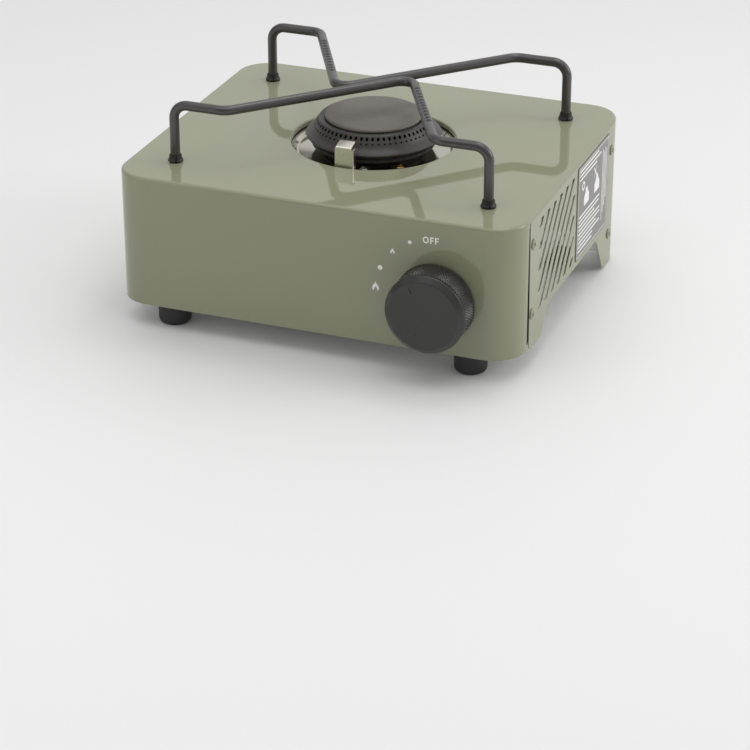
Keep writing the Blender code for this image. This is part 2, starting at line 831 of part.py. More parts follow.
def cartridge_bay():
    """Heat shield over the bay and the trough that carries the cartridge."""
    left, right, roof, thick = BAY_LEFT - 0.0016, WIDTH / 2 - 0.0022, down(0.0085), 0.0006
    section = [
        (left, BASE_HIGH + GAP),
        (left + thick, BASE_HIGH + GAP),
        (left + thick, roof - thick),
        (right - thick, roof - thick),
        (right - thick, down(0.020)),
        (right, down(0.020)),
        (right, roof),
        (left, roof),
    ]
    near, far = back(0.042), back(0.174)
    shield = prism([(x, z) for x, z in section], -far, -near)
    for vert in shield.verts:
        if vert.co.x > right - 2 * thick and vert.co.y < down(0.012):
            vert.co.y = down(0.015 + 0.41 * (-vert.co.z - near))
    add("heat_shield", shield, MATERIALS["galvanised"], rotation=FACING_FRONT)

    inner, outer = CARTRIDGE_R + 0.001, CARTRIDGE_R + 0.0018
    arc = spread(math.radians(187), math.radians(335), 12)
    band = [(KNOB_X + outer * math.cos(a), KNOB_Z + outer * math.sin(a)) for a in arc]
    band += [(KNOB_X + inner * math.cos(a), KNOB_Z + inner * math.sin(a)) for a in arc[::-1]]
    trough = prism(band, -far, -back(0.062))
    add("cartridge_cradle", trough, MATERIALS["galvanised"], rotation=FACING_FRONT)


# ---------------------------------------------------------------- ignition


def cam_radius(angle):
    """Radius of the cam, so that its lift on the plunger is in step with the knob's turn."""
    contact = math.pi
    rise_end = contact - KNOB_TURN
    fall_end = rise_end - math.radians(50)
    if rise_end <= angle <= contact:
        return CAM_BASE_R + CAM_LIFT * (contact - angle) / KNOB_TURN
    if fall_end <= angle < rise_end:
        return CAM_BASE_R + CAM_LIFT * (angle - fall_end) / (rise_end - fall_end)
    return CAM_BASE_R


def ignition():
    """Cam on the stem, striker with its plunger, lead, electrode and the cover over it."""
    sides = 36
    outline = []
    for k in range(sides):
        angle = 2 * math.pi * k / sides
        radius = cam_radius(angle)
        outline.append((radius * math.cos(angle), radius * math.sin(angle)))
    cam = prism(outline, -0.0080, -0.0040, [circle(STEM_R + GAP, 12)])
    add("ignition_cam", cam, MATERIALS["black_plastic"], (KNOB_X, back(0), KNOB_Z), FACING_FRONT)

    facing_right = (0, math.radians(90), 0)  # local Z points to +X
    axis_y = back(0.0062)
    tip_x = KNOB_X - CAM_BASE_R - 0.0006
    plunger = [(0, 0), (0.0009, 0), (0.0020, -0.0020), (0.0020, -0.0125), (0, -0.0125)]
    where = (tip_x, axis_y, KNOB_Z)
    add("striker_plunger", lathe(plunger, 12), MATERIALS["black_plastic"], where, facing_right)
    mouth, length = tip_x - 0.0075, 0.032
    striker = [(0, -length), (0.0045, -length), (0.0045, 0), (0.0023, 0), (0.0023, -0.0105), (0, -0.0105)]
    where = (mouth, axis_y, KNOB_Z)
    add("piezo_striker", lathe(striker, 12), MATERIALS["black_plastic"], where, facing_right)

    foot = down(0.0200)
    wire = bent_path(
        [
            (mouth - length - GAP, axis_y, KNOB_Z, 0),
            (ELECTRODE_X, axis_y, KNOB_Z, 0.008),
            (ELECTRODE_X, ELECTRODE_Y - 0.014, KNOB_Z, 0.010),
            (ELECTRODE_X, ELECTRODE_Y, down(0.034), 0.006),
            (ELECTRODE_X, ELECTRODE_Y, foot - GAP, 0),
        ],
        4,
    )
    add("igniter_lead", pipe(wire, 0.0012, sides=6), MATERIALS["black_plastic"])

    tall = 0.0240
    ceramic = [(0, 0), (ELECTRODE_R, 0), (ELECTRODE_R, tall - 0.0015), (0.0012, tall), (0, tall)]
    where = (ELECTRODE_X, ELECTRODE_Y, foot)
    add("electrode_insulator", lathe(ceramic, 12), MATERIALS["ceramic"], where)
    needle = bent_path(
        [
            (ELECTRODE_X, ELECTRODE_Y, foot + tall + GAP, 0),
            (ELECTRODE_X, ELECTRODE_Y, down(-0.0090), 0.0015),
            (ELECTRODE_X, ELECTRODE_Y + 0.0042, down(-0.0094), 0),
        ],
        4,
    )
    add("electrode_tip", pipe(needle, 0.0006, sides=6), MATERIALS["steel"])
    electrode_cover()


def electrode_cover():
    """Bent sheet hood that stands in front of the electrode."""
    half, front, thick = 0.00615, ELECTRODE_Y - 0.0036, 0.0006
    low, high, deep = down(0.0029), down(-0.0123), 0.0046
    plan = [
        (-half, front),
        (half, front),
        (half, front + deep),
        (half - thick, front + deep),
        (half - thick, front + thick),
        (thick - half, front + thick),
        (thick - half, front + deep),
        (-half, front + deep),
    ]
    walls = prism(plan, low, high - 0.0008)
    hood = add("electrode_cover", walls, MATERIALS["bright_steel"], (ELECTRODE_X, 0, 0))
    side_view = [
        (front, high - 0.0016),
        (front + thick, high - 0.0016),
        (front + thick, high - 0.0006),
        (front + 0.0075, high + 0.0010),
        (front + 0.0072, high + 0.0016),
        (front + 0.0008, high),
        (front, high - 0.0008),
    ]
    across = Matrix.Rotation(math.radians(90), 4, "Z") @ Matrix.Rotation(math.radians(90), 4, "X")
    tab = bmesh.new()
    add_prism(tab, side_view, -half, half, matrix=across)
    boolean(hood, add_tool("cover_tab", tab, (ELECTRODE_X, 0, 0)), "UNION")


# ---------------------------------------------------------------- the stove

clear_scene()
MATERIALS = {
    "paint": material("sage_paint", (0.30, 0.31, 0.23), 0.28),
    "enamel": material("black_enamel", (0.045, 0.043, 0.042), 0.35),
    "cast": material("burner_coating", (0.060, 0.055, 0.052), 0.45),
    "black_plastic": material("black_plastic", (0.035, 0.034, 0.034), 0.5),
    "rubber": material("rubber", (0.03, 0.03, 0.03), 0.8),
    "bright_steel": material("bright_steel", (0.72, 0.70, 0.66), 0.2, 1.0),
    "steel": material("steel", (0.55, 0.54, 0.52), 0.35, 1.0),
    "galvanised": material("galvanised_sheet", (0.60, 0.62, 0.60), 0.4, 1.0),
    "aluminium": material("aluminium", (0.70, 0.70, 0.70), 0.4, 1.0),
    "brass": material("brass", (0.72, 0.48, 0.20), 0.3, 1.0),
    "ceramic": material("ceramic", (0.85, 0.83, 0.78), 0.3),
    "label": material("label", (0.33, 0.33, 0.32), 0.45),
}
stove = bpy.data.objects.new("stove", None)
stove.location = (0, BODY_Y, 0)
bpy.context.scene.collection.objects.link(stove)

top_shell()
side_panel(1, "side_panel_right")
side_panel(-1, "side_panel_left")
rear_panel()
base_plate()
corner_brackets()
foot_bracket()
panel_screws()
rating_label()
feet()
support_grommets()
pan_supports()
burner()
mixing_tube()
gas_line()
valve_train()
cartridge_bay()
ignition()
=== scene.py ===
import math

import bmesh
import bpy
from mathutils import Matrix, Quaternion, Vector
from mathutils.geometry import tessellate_polygon


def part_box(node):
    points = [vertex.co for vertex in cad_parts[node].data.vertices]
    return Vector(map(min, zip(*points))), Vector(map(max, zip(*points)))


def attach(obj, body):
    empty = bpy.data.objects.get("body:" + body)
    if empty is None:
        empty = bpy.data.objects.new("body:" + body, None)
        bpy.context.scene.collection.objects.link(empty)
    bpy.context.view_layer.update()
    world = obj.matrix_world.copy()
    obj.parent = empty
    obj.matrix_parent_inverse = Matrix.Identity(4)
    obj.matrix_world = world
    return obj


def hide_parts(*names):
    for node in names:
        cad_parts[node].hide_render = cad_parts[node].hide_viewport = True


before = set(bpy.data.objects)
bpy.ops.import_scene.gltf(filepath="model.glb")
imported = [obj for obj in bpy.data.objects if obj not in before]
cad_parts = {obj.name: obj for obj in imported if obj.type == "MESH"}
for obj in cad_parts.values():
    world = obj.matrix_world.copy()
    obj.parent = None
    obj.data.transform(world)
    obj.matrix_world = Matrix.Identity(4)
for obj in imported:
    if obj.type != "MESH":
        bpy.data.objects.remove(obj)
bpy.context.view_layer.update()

# A portable gas stove. All sizes are in metres and all angles in degrees unless a name says
# otherwise. X runs to the right, Y to the back and Z up, with the feet on Z = 0.


def middle(node):
    low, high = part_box(node)
    return (low + high) / 2


def radius_of(node):
    low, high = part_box(node)
    return (high.x - low.x) / 2


# Housing
SHELL_LOW, SHELL_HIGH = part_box("top_shell")
HALF = SHELL_HIGH.x
FRONT, REAR = SHELL_LOW.y, SHELL_HIGH.y
TOP, WALL_END = SHELL_HIGH.z, SHELL_LOW.z
SHEET = 0.0006
CORNER = 0.021
EDGE = 0.002
GAP = 0.0003  # clearance between neighbouring pieces
PANEL_WRAP = math.radians(65)  # how far the side sheets follow the rear corners
BAY_HALF = 0.036  # from the knob's axis to the edges of the cartridge opening
SCREW_R = 0.0015
CORNERS = ("front_left", "front_right", "rear_left", "rear_right")
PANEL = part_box("side_panel_right")
SEAM = PANEL[0].y
PANEL_TOP = PANEL[1].z
LOBE_END = PANEL[0].z

# Burner, all heights above the top plate
BURNER = Vector((*middle("burner_cap").xy, TOP))
CAP_R = radius_of("burner_cap")
CAP_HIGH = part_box("burner_cap")[1].z - TOP
RIM_R = radius_of("burner_ring")
HOLE_R = 0.0515

# Pan supports
ROD_R = 0.003
ROD_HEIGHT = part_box("pan_support_front")[1].z - ROD_R - TOP
LEG_X = middle("grommet_front_right").x
LEG_Y = middle("grommet_rear_right").y
LEG_BACK = middle("grommet_front_right").y
LEG_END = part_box("pan_support_front")[0].z
SUPPORT_MIDDLE = (LEG_Y + LEG_BACK) / 2

# Knob, on an axis that runs to the front
KNOB = Vector((middle("knob").x, FRONT, middle("knob").z))
KNOB_R = radius_of("knob")
KNOB_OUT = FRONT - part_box("knob")[0].y
KNOB_CLEAR = 0.001

INK = 0.00004  # half the thickness of a printed film
FACING_FRONT = Matrix.Rotation(math.radians(90), 4, "X")  # local Z points to the front


# -------------------------------- outlines and paths


def down(depth):
    return TOP - depth


def behind(distance):
    return FRONT + distance


def spread(start, end, count):
    return [start + (end - start) * i / (count - 1) for i in range(count)]


def circle(radius, sides, x=0.0, y=0.0):
    angles = [2 * math.pi * i / sides for i in range(sides)]
    return [(x + radius * math.cos(a), y + radius * math.sin(a)) for a in angles]


def sweep(steps, start=0, end=90):
    """Angles, in radians, that divide a turn into equal steps."""
    return [math.radians(start + (end - start) * k / steps) for k in range(steps + 1)]


def fillet(before, corner, after, radius, steps):
    """Points of the arc that rounds a corner, in two or three dimensions."""
    first_way = (before - corner).normalized()
    last_way = (after - corner).normalized()
    half = first_way.angle(last_way) / 2
    reach = radius / math.tan(half)
    centre = corner + (first_way + last_way).normalized() * radius / math.sin(half)
    first, last = corner + first_way * reach - centre, corner + last_way * reach - centre
    arc = math.pi - 2 * half
    points = []
    for k in range(steps + 1):
        part = arc * k / steps
        weight_first = math.sin(arc - part) / math.sin(arc)
        weight_last = math.sin(part) / math.sin(arc)
        points.append(centre + first * weight_first + last * weight_last)
    return points


def rounded(corners, steps=6):
    """A closed outline with each (x, y, radius) corner turned into an arc."""
    outline = []
    for i, (x, y, radius) in enumerate(corners):
        corner = Vector((x, y))
        if radius == 0:
            outline.append((x, y))
            continue
        before = Vector(corners[i - 1][:2])
        after = Vector(corners[(i + 1) % len(corners)][:2])
        outline += [tuple(p) for p in fillet(before, corner, after, radius, steps)]
    return outline


def bent_path(points, steps, cut_stretch, pitch):
    """An open path through (x, y, z, bend radius) points, with one straight cut to a pitch."""
    path = [Vector(points[0][:3])]
    for i in range(1, len(points)):
        if i < len(points) - 1:
            before, corner, after = (Vector(points[k][:3]) for k in (i - 1, i, i + 1))
            arc = fillet(before, corner, after, points[i][3], steps)
        else:
            arc = [Vector(points[i][:3])]
        if i == cut_stretch:
            run = arc[0] - path[-1]
            cuts = int(run.length / pitch)
            path += [path[-1] + run * k / cuts for k in range(1, cuts)]
        path += arc
    return path


def inset(outline, depth):
    """The outline moved inwards, for one that runs anticlockwise."""
    moved = []
    count = len(outline)
    for i, point in enumerate(outline):
        here = Vector(point)
        ahead = (Vector(outline[(i + 1) % count]) - here).normalized()
        behind_it = (here - Vector(outline[i - 1])).normalized()
        across = Vector((-ahead.y - behind_it.y, ahead.x + behind_it.x)).normalized()
        share = max(0.35, across.dot(Vector((-ahead.y, ahead.x))))
        moved.append(tuple(here + across * depth / share))
    return moved


def signed_area(outline):
    return sum(a[0] * b[1] - b[0] * a[1] for a, b in zip(outline, outline[1:] + outline[:1])) / 2


def anticlockwise(outline):
    return outline if signed_area(outline) > 0 else outline[::-1]


# -------------------------------- meshes


def join(bm, first, second, closed=True):
    """Faces between two loops of equal length; a loop of one vertex is a pole."""
    count = max(len(first), len(second))
    for i in range(count if closed else count - 1):
        j = (i + 1) % count
        if len(first) == 1:
            bm.faces.new((first[0], second[i], second[j]))
        elif len(second) == 1:
            bm.faces.new((first[i], first[j], second[0]))
        else:
            bm.faces.new((first[i], first[j], second[j], second[i]))


def skin(bm, loops):
    """Joins each loop of a row to the next one."""
    for a, b in zip(loops, loops[1:]):
        join(bm, a, b)


def ring(bm, matrix, radius, height, sides):
    """A loop of vertices about local Z, or a single vertex on the axis."""
    points = circle(radius, sides) if radius else [(0, 0)]
    return [bm.verts.new(matrix @ Vector((x, y, height))) for x, y in points]


def fill(bm, outer, holes=()):
    """A flat face, with holes, between loops of vertices that are already there."""
    loops = [outer, *holes]
    verts = [v for loop in loops for v in loop]
    for a, b, c in tessellate_polygon([[v.co for v in loop] for loop in loops]):
        bm.faces.new((verts[a], verts[b], verts[c]))


def lathe(profile, sides, matrix):
    """Turns a closed (radius, height) profile about local Z."""
    bm = bmesh.new()
    loops = [ring(bm, matrix, radius, height, sides) for radius, height in profile]
    for i, loop in enumerate(loops):
        if len(loops[i - 1]) > 1 or len(loop) > 1:
            join(bm, loops[i - 1], loop)
    return bm


def prism(outline, low, high, holes=(), chamfer=0.0, matrix=None, bm=None):
    """Extrudes an outline, with holes, and takes the edge off the high side."""
    bm = bm or bmesh.new()
    matrix = matrix or Matrix()
    loops = [anticlockwise(outline)] + [anticlockwise(hole) for hole in holes]
    levels = [(low, 0.0), (high - chamfer, 0.0)] if chamfer else [(low, 0.0)]
    rings = []
    for height, off in [*levels, (high, chamfer)]:
        row = []
        for k, loop in enumerate(loops):
            moved = inset(loop, off if k == 0 else -off) if off else loop
            row.append([bm.verts.new(matrix @ Vector((x, y, height))) for x, y in moved])
        rings.append(row)
    fill(bm, rings[0][0], rings[0][1:])
    fill(bm, rings[-1][0], rings[-1][1:])
    for lower, upper in zip(rings, rings[1:]):
        for a, b in zip(lower, upper):
            join(bm, a, b)
    return bm


def pipe(path, radius, sides):
    """Sweeps a round bar along a path; radius is a function of (index, angle)."""
    bm = bmesh.new()
    normal = Vector((0, 1, 0))
    rings = []
    for i, point in enumerate(path):
        ahead = path[min(i + 1, len(path) - 1)] - point
        back_way = point - path[max(i - 1, 0)]
        tangent = (ahead.normalized() + back_way.normalized()).normalized()
        normal = (normal - tangent * normal.dot(tangent)).normalized()
        side = tangent.cross(normal)
        loop = []
        for k in range(sides):
            angle = 2 * math.pi * k / sides
            across = normal * math.cos(angle) + side * math.sin(angle)
            loop.append(bm.verts.new(point + across * radius(i, angle)))
        rings.append(loop)
    skin(bm, rings)
    bm.faces.new(rings[0])
    bm.faces.new(rings[-1])
    return bm


def cut_across(bm, places):
    """Cuts a mesh by planes across X, so that it can be bent there."""
    for x in places:
        everything = bm.verts[:] + bm.edges[:] + bm.faces[:]
        bmesh.ops.bisect_plane(
            bm, geom=everything, plane_co=(x, 0, 0), plane_no=(1, 0, 0), dist=1e-7
        )


def piece(name, bm, material, replaces=(), body="housing", smooth=32):
    """Makes the object, gives it its finish and hangs it on its body."""
    bmesh.ops.recalc_face_normals(bm, faces=bm.faces)
    mesh = bpy.data.meshes.new(name)
    bm.to_mesh(mesh)
    bm.free()
    mesh.shade_smooth()
    mesh.set_sharp_from_angle(angle=math.radians(smooth))
    mesh.materials.append(material)
    obj = bpy.data.objects.new(name, mesh)
    bpy.context.scene.collection.objects.link(obj)
    weighted = obj.modifiers.new("weighted_normals", "WEIGHTED_NORMAL")
    weighted.keep_sharp = True
    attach(obj, body)
    if replaces:
        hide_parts(*replaces)
    return obj


# -------------------------------- materials


class Finish:
    """A Principled material whose colour, roughness and relief come from object-space noise."""

    MIX_A, MIX_B, MIX_RESULT = 6, 7, 2  # colour sockets of the Mix node

    def __init__(self, name, metallic=0.0, specular=0.5):
        self.material = bpy.data.materials.new(name)
        self.material.use_nodes = True
        self.tree = self.material.node_tree
        self.shader = self.tree.nodes["Principled BSDF"]
        self.fix("Metallic", metallic)
        self.fix("Specular IOR Level", specular)
        self.place = self.node("ShaderNodeTexCoord").outputs["Object"]

    def fix(self, socket, value):
        """Sets a value that is the same all over the surface."""
        self.shader.inputs[socket].default_value = value

    def node(self, kind, **inputs):
        made = self.tree.nodes.new(kind)
        for name, value in inputs.items():
            made.inputs[name.replace("_", " ")].default_value = value
        return made

    def link(self, start, end):
        self.tree.links.new(start, end)

    def noise(self, scale, detail=3.0, roughness=0.5, stretch=(1, 1, 1)):
        mapping = self.node("ShaderNodeMapping", Scale=stretch)
        self.link(self.place, mapping.inputs["Vector"])
        made = self.node("ShaderNodeTexNoise", Scale=scale, Detail=detail, Roughness=roughness)
        self.link(mapping.outputs["Vector"], made.inputs["Vector"])
        return made.outputs["Fac"]

    def cells(self, scale, output="Distance"):
        made = self.node("ShaderNodeTexVoronoi", Scale=scale)
        self.link(self.place, made.inputs["Vector"])
        return made.outputs[output]

    def tint(self, share, colour, low, high):
        """Lets the base colour swing between two shades of one colour."""
        made = self.node("ShaderNodeMix")
        made.data_type = "RGBA"
        self.link(share, made.inputs["Factor"])
        for socket, factor in ((self.MIX_A, low), (self.MIX_B, high)):
            made.inputs[socket].default_value = (*(c * factor for c in colour), 1.0)
        self.link(made.outputs[self.MIX_RESULT], self.shader.inputs["Base Color"])

    def rough(self, value, low, high, start=0.25, end=0.75):
        """Lets the roughness follow a value that runs from start to end."""
        made = self.node(
            "ShaderNodeMapRange", From_Min=start, From_Max=end, To_Min=low, To_Max=high
        )
        self.link(value, made.inputs["Value"])
        self.link(made.outputs["Result"], self.shader.inputs["Roughness"])

    def relief(self, height, distance, strength, under=None, socket="Normal"):
        """Bumps the surface, on top of the relief that is given as under."""
        made = self.node("ShaderNodeBump", Strength=strength, Distance=distance)
        self.link(height, made.inputs["Height"])
        if under is not None:
            self.link(under, made.inputs["Normal"])
        self.link(made.outputs["Normal"], self.shader.inputs[socket])
        return made.outputs["Normal"]


def paint_finish(name, colour):
    """Stoved enamel paint under a glossy coat that flows in a faint orange peel."""
    finish = Finish(name, specular=0.0)
    finish.tint(finish.noise(9.0, 2.0), colour, 0.985, 1.015)
    finish.rough(finish.noise(60.0), 0.38, 0.46)
    finish.fix("Coat Weight", 1.0)
    finish.fix("Coat Roughness", 0.035)
    finish.fix("Coat IOR", 1.5)
    slow = finish.relief(finish.noise(26.0, 1.0), 0.00012, 0.35, socket="Coat Normal")
    finish.relief(finish.noise(420.0, 2.0), 0.00001, 0.35, under=slow, socket="Coat Normal")
    finish.relief(finish.noise(2600.0, 2.0), 0.00001, 0.3)
    return finish.material


def enamel_finish(name, colour, rough, grain=900.0, height=0.00002, specular=0.5):
    """Baked dark coating with a fine pebbled grain."""
    finish = Finish(name, specular=specular)
    finish.tint(finish.noise(70.0, 4.0), colour, 0.85, 1.15)
    finish.rough(finish.noise(160.0, 3.0), *rough)
    fine = finish.relief(finish.noise(grain, 3.0, 0.6), height, 0.5)
    finish.relief(finish.noise(grain * 0.2, 2.0), height * 2, 0.25, under=fine)
    return finish.material


def moulded_finish(name, colour, rough, grain=1500.0, height=0.000015, specular=0.5):
    """Moulded plastic or rubber with spark-eroded texture and faint flow marks."""
    finish = Finish(name, specular=specular)
    finish.tint(finish.noise(35.0, 5.0), colour, 0.88, 1.12)
    finish.rough(finish.noise(240.0, 4.0), *rough)
    finish.relief(finish.cells(grain), height, 0.4)
    return finish.material


def metal_finish(name, colour, rough, brush=(1, 1, 1), scale=300.0, height=0.000012):
    """Bare metal with fine scratches along its brushing and slight staining."""
    finish = Finish(name, metallic=1.0)
    finish.tint(finish.noise(22.0, 5.0, 0.6), colour, 0.86, 1.06)
    lines = finish.noise(scale, 6.0, 0.65, brush)
    finish.rough(lines, *rough)
    finish.relief(lines, height, 0.35)
    return finish.material


def galvanised_finish(name, colour):
    """Zinc-coated sheet with crystal spangle."""
    finish = Finish(name, metallic=0.45)
    tone = finish.node("ShaderNodeSeparateColor")
    finish.link(finish.cells(140.0, "Color"), tone.inputs["Color"])
    finish.tint(tone.outputs["Red"], colour, 0.90, 1.03)
    finish.rough(tone.outputs["Green"], 0.38, 0.54, 0.0, 1.0)
    fine = finish.relief(finish.noise(500.0, 4.0), 0.00001, 0.3)
    finish.relief(finish.cells(140.0), 0.00002, 0.2, under=fine)
    return finish.material


def cast_finish(name, colour):
    """Die-cast aluminium, dull and slightly pitted."""
    finish = Finish(name, metallic=1.0)
    finish.tint(finish.noise(90.0, 6.0, 0.65), colour, 0.72, 1.0)
    finish.rough(finish.noise(220.0, 5.0), 0.38, 0.58)
    pits = finish.relief(finish.cells(900.0), 0.00003, 0.35)
    finish.relief(finish.noise(250.0, 5.0), 0.00004, 0.3, under=pits)
    return finish.material


def ink_finish(name, colour, roughness=0.45):
    """Screen-printed ink with a slightly uneven film."""
    finish = Finish(name)
    finish.tint(finish.noise(400.0, 3.0), colour, 0.93, 1.03)
    finish.rough(finish.noise(700.0), roughness - 0.06, roughness + 0.06)
    finish.relief(finish.noise(1800.0, 2.0), 0.000004, 0.3)
    return finish.material


PAINT = paint_finish("sage_paint_look", (0.290, 0.300, 0.198))
ROD = enamel_finish(
    "support_enamel_look", (0.029, 0.0245, 0.0245), (0.27, 0.35), 1400.0, 0.000004, 1.0
)
BURNER_DARK = enamel_finish("burner_coating_look", (0.040, 0.036, 0.035), (0.34, 0.44))
# Partly the cap's coating and partly painted sheen: the base colour is raised to stand for the
# grazing reflection on the cap's top.
CAP_COATING_AND_SHEEN = enamel_finish("cap_coating_and_sheen_look", (0.146, 0.130, 0.110), (0.46, 0.54), 1800.0, 0.000008)
PLASTIC = moulded_finish("black_plastic_look", (0.022, 0.021, 0.021), (0.36, 0.48))
KNOB_PLASTIC = moulded_finish(
    "knob_plastic_look", (0.023, 0.0215, 0.0205), (0.27, 0.35), 2200.0, 0.000003, 0.6
)
# Painted shade: a near-black strip stands for the shadow inside the knob's sunk pointer groove.
POINTER_GROOVE_SHADE = moulded_finish("pointer_groove_shade_look", (0.005, 0.005, 0.005), (0.45, 0.60))
RUBBER = moulded_finish("rubber_look", (0.030, 0.028, 0.029), (0.50, 0.70), 700.0, 0.00004)
SILICONE = moulded_finish("silicone_look", (0.16, 0.04, 0.03), (0.35, 0.50))
BRIGHT = metal_finish(
    "bright_steel_look", (0.92, 0.88, 0.79), (0.18, 0.30), (1, 1, 0.05), 900.0, 0.000004
)
# Partly the steel's own tone and partly painted reflection: the bowl is tinted darker and towards
# olive to stand for the sage paint it reflects.
BOWL_METAL_AND_REFLECTION = metal_finish(
    "bowl_steel_and_reflection_look", (0.50, 0.49, 0.42), (0.07, 0.14), (1, 1, 1), 30.0, 0.000002
)
STEEL = metal_finish("steel_look", (0.55, 0.53, 0.50), (0.25, 0.42))
BRASS = metal_finish("brass_look", (0.70, 0.42, 0.15), (0.18, 0.36))
GALVANISED = galvanised_finish("galvanised_look", (0.74, 0.75, 0.71))
# Painted shade: a near-black zinc for the corner brackets, so that the narrow seam gaps in front of
# them read as shadowed.
GAP_SHADE_ZINC = galvanised_finish("gap_shade_zinc_look", (0.12, 0.12, 0.11))
ALUMINIUM = cast_finish("cast_aluminium_look", (0.66, 0.66, 0.66))
CERAMIC = moulded_finish("ceramic_look", (0.80, 0.77, 0.70), (0.12, 0.22), 600.0, 0.00001)
LABEL = ink_finish("label_film_look", (0.235, 0.230, 0.218), 0.40)
PRINT = ink_finish("print_look", (0.96, 0.95, 0.87))
LABEL_PRINT = ink_finish("label_print_look", (0.95, 0.94, 0.91))


# -------------------------------- housing


def shell():
    """Top plate, rolled edge, front wall and both front corners as one drawn sheet."""
    bm = bmesh.new()
    front_step, rear_steps, roll_steps, hole_sides = 6.0, 16, 8, 128
    seam = SEAM - GAP
    foot_r, foot_turns = 0.0042, sweep(6)  # rounding of the wall's lower corners
    fine = [90 - math.degrees(foot_r * (1 - math.sin(t)) / CORNER) for t in foot_turns]
    front_arc = [front_step * k for k in range(int(fine[0] / front_step) + 1)] + fine
    rear_arc = [90.0 * k / rear_steps for k in range(rear_steps + 1)]

    def loop(off):
        """Outline from the left seam round the front to the right seam, then round the back."""
        points = []
        inner = CORNER - off
        for cx, cy, start, arc in (
            (-HALF + CORNER, FRONT + CORNER, 270, [-a for a in front_arc[::-1]]),
            (HALF - CORNER, FRONT + CORNER, 270, front_arc),
            (HALF - CORNER, REAR - CORNER, 0, rear_arc),
            (-HALF + CORNER, REAR - CORNER, 90, rear_arc),
        ):
            for turn in arc:
                a = math.radians(start + turn)
                y = cy + inner * math.sin(a)
                points.append((cx + inner * math.cos(a), min(y, seam) if cy < 0 else y))
        return points

    wall_count = 2 * len(front_arc)
    flat_low = len(front_arc) - 1

    def wall_bottom(index):
        """The wall's lower corners next to the seams are rounded off."""
        from_end = min(index, wall_count - 1 - index)
        if from_end >= len(fine):
            return WALL_END
        return WALL_END + foot_r * (1 - math.cos(foot_turns[-1 - from_end]))

    def walls(off):
        """Rows of vertices at shares of the wall's height."""
        rows = []
        for share in (0.0, 0.02, 0.98):
            row = []
            for i, (x, y) in enumerate(loop(off)[:wall_count]):
                low = wall_bottom(i)
                row.append(bm.verts.new((x, y, low + (down(EDGE) - low) * share)))
            rows.append(row)
        return rows

    def roll(radius, off):
        """The turned edge between the walls and the plate."""
        rows = []
        for a in sweep(roll_steps):
            out, z = off + radius * (1 - math.cos(a)), down(EDGE) + radius * math.sin(a)
            rows.append([bm.verts.new((x, y, z)) for x, y in loop(out)])
        return rows

    outer_roll = roll(EDGE, 0.0)
    inner_roll = roll(EDGE - SHEET, SHEET)
    stem = middle("valve_stem")
    stem_hole = circle(radius_of("valve_stem") + 0.002, 32, stem.x, stem.z)

    def wall_sheet(off, y, roll_start):
        """One face of the front wall, with the hole for the knob's stem."""
        rows = [*walls(off), roll_start[:wall_count]]
        rim = [bm.verts.new((x, y, z)) for x, z in stem_hole]
        for r, (a, b) in enumerate(zip(rows, rows[1:])):
            for i in range(wall_count - 1):
                if i == flat_low and r == 1:
                    fill(bm, [a[i], a[i + 1], b[i + 1], b[i]], [rim])
                else:
                    bm.faces.new((a[i], a[i + 1], b[i + 1], b[i]))
        return rows, rim

    outer_rows, outer_rim = wall_sheet(0.0, FRONT, outer_roll[0])
    inner_rows, inner_rim = wall_sheet(SHEET, FRONT + SHEET, inner_roll[0])
    join(bm, outer_rim, inner_rim)
    join(bm, outer_rows[0], inner_rows[0], closed=False)
    for end in (0, -1):
        for a, b, c, d in zip(outer_rows, outer_rows[1:], inner_rows[1:], inner_rows):
            bm.faces.new((a[end], b[end], c[end], d[end]))
    skin(bm, outer_roll)
    skin(bm, inner_roll)
    total = len(outer_roll[0])
    for i in range(wall_count - 1, total):
        j = (i + 1) % total
        bm.faces.new((outer_roll[0][i], outer_roll[0][j], inner_roll[0][j], inner_roll[0][i]))

    lip_r, lip_end = 0.0012, -0.0028
    lip = [(HOLE_R + lip_r * (1 - math.sin(a)), -lip_r * (1 - math.cos(a))) for a in sweep(6)]
    lip += [(HOLE_R, lip_end), (HOLE_R + SHEET, lip_end), (HOLE_R + 0.0008, -SHEET - 0.0008)]
    lip += [(HOLE_R + 0.0016, -SHEET)]
    rings = [ring(bm, Matrix.Translation(BURNER), r, h, hole_sides) for r, h in lip]
    skin(bm, rings)
    necks = []
    for x in (-LEG_X, LEG_X):
        for y in (LEG_BACK, LEG_Y):
            neck_hole = circle(0.0045, 24, x, y)
            rims = [[bm.verts.new((*p, z)) for p in neck_hole] for z in (TOP, TOP - SHEET)]
            join(bm, *rims)
            necks.append(rims)
    fill(bm, outer_roll[-1], [rings[0]] + [n[0] for n in necks])
    fill(bm, inner_roll[-1], [rings[-1]] + [n[1] for n in necks])
    piece("housing_skin", bm, PAINT, ["top_shell"])


SCREW_PLACES = [tuple(middle(f"panel_screw_right_{k}").yz) for k in range(1, 5)]
SLOTS = 10
SLOT_WIDTH = 0.0040
SLOT_PITCH = 0.0124
SLOT_LEAN = 0.89  # run towards the back for each unit of rise
SLOT_ROUND = 0.0006
SLOT_FRONT, SLOT_REAR = 0.0425, 0.1110  # behind the housing's front
SLOT_TOP, SLOT_BOTTOM = 0.0075, 0.0660  # below the top plate


def slot_outlines():
    """Slanted slots across a rectangular field, cut off where they meet its edge."""
    half = SLOT_WIDTH / 2 * math.hypot(1, SLOT_LEAN)
    first, tall = SLOT_FRONT + 0.0045, SLOT_TOP - SLOT_BOTTOM
    slots = []
    for k in range(SLOTS):
        centre = first + k * SLOT_PITCH
        high = min(0.0, (SLOT_REAR - centre) / SLOT_LEAN)
        low = max(tall, (SLOT_FRONT - centre) / SLOT_LEAN)
        corners = []
        for rise, way in ((low, -1), (low, 1), (high, 1), (high, -1)):
            y = centre + SLOT_LEAN * rise + way * half
            corners.append((y, down(SLOT_TOP) + rise, SLOT_ROUND))
        slots.append(rounded(corners, 3))
    return slots


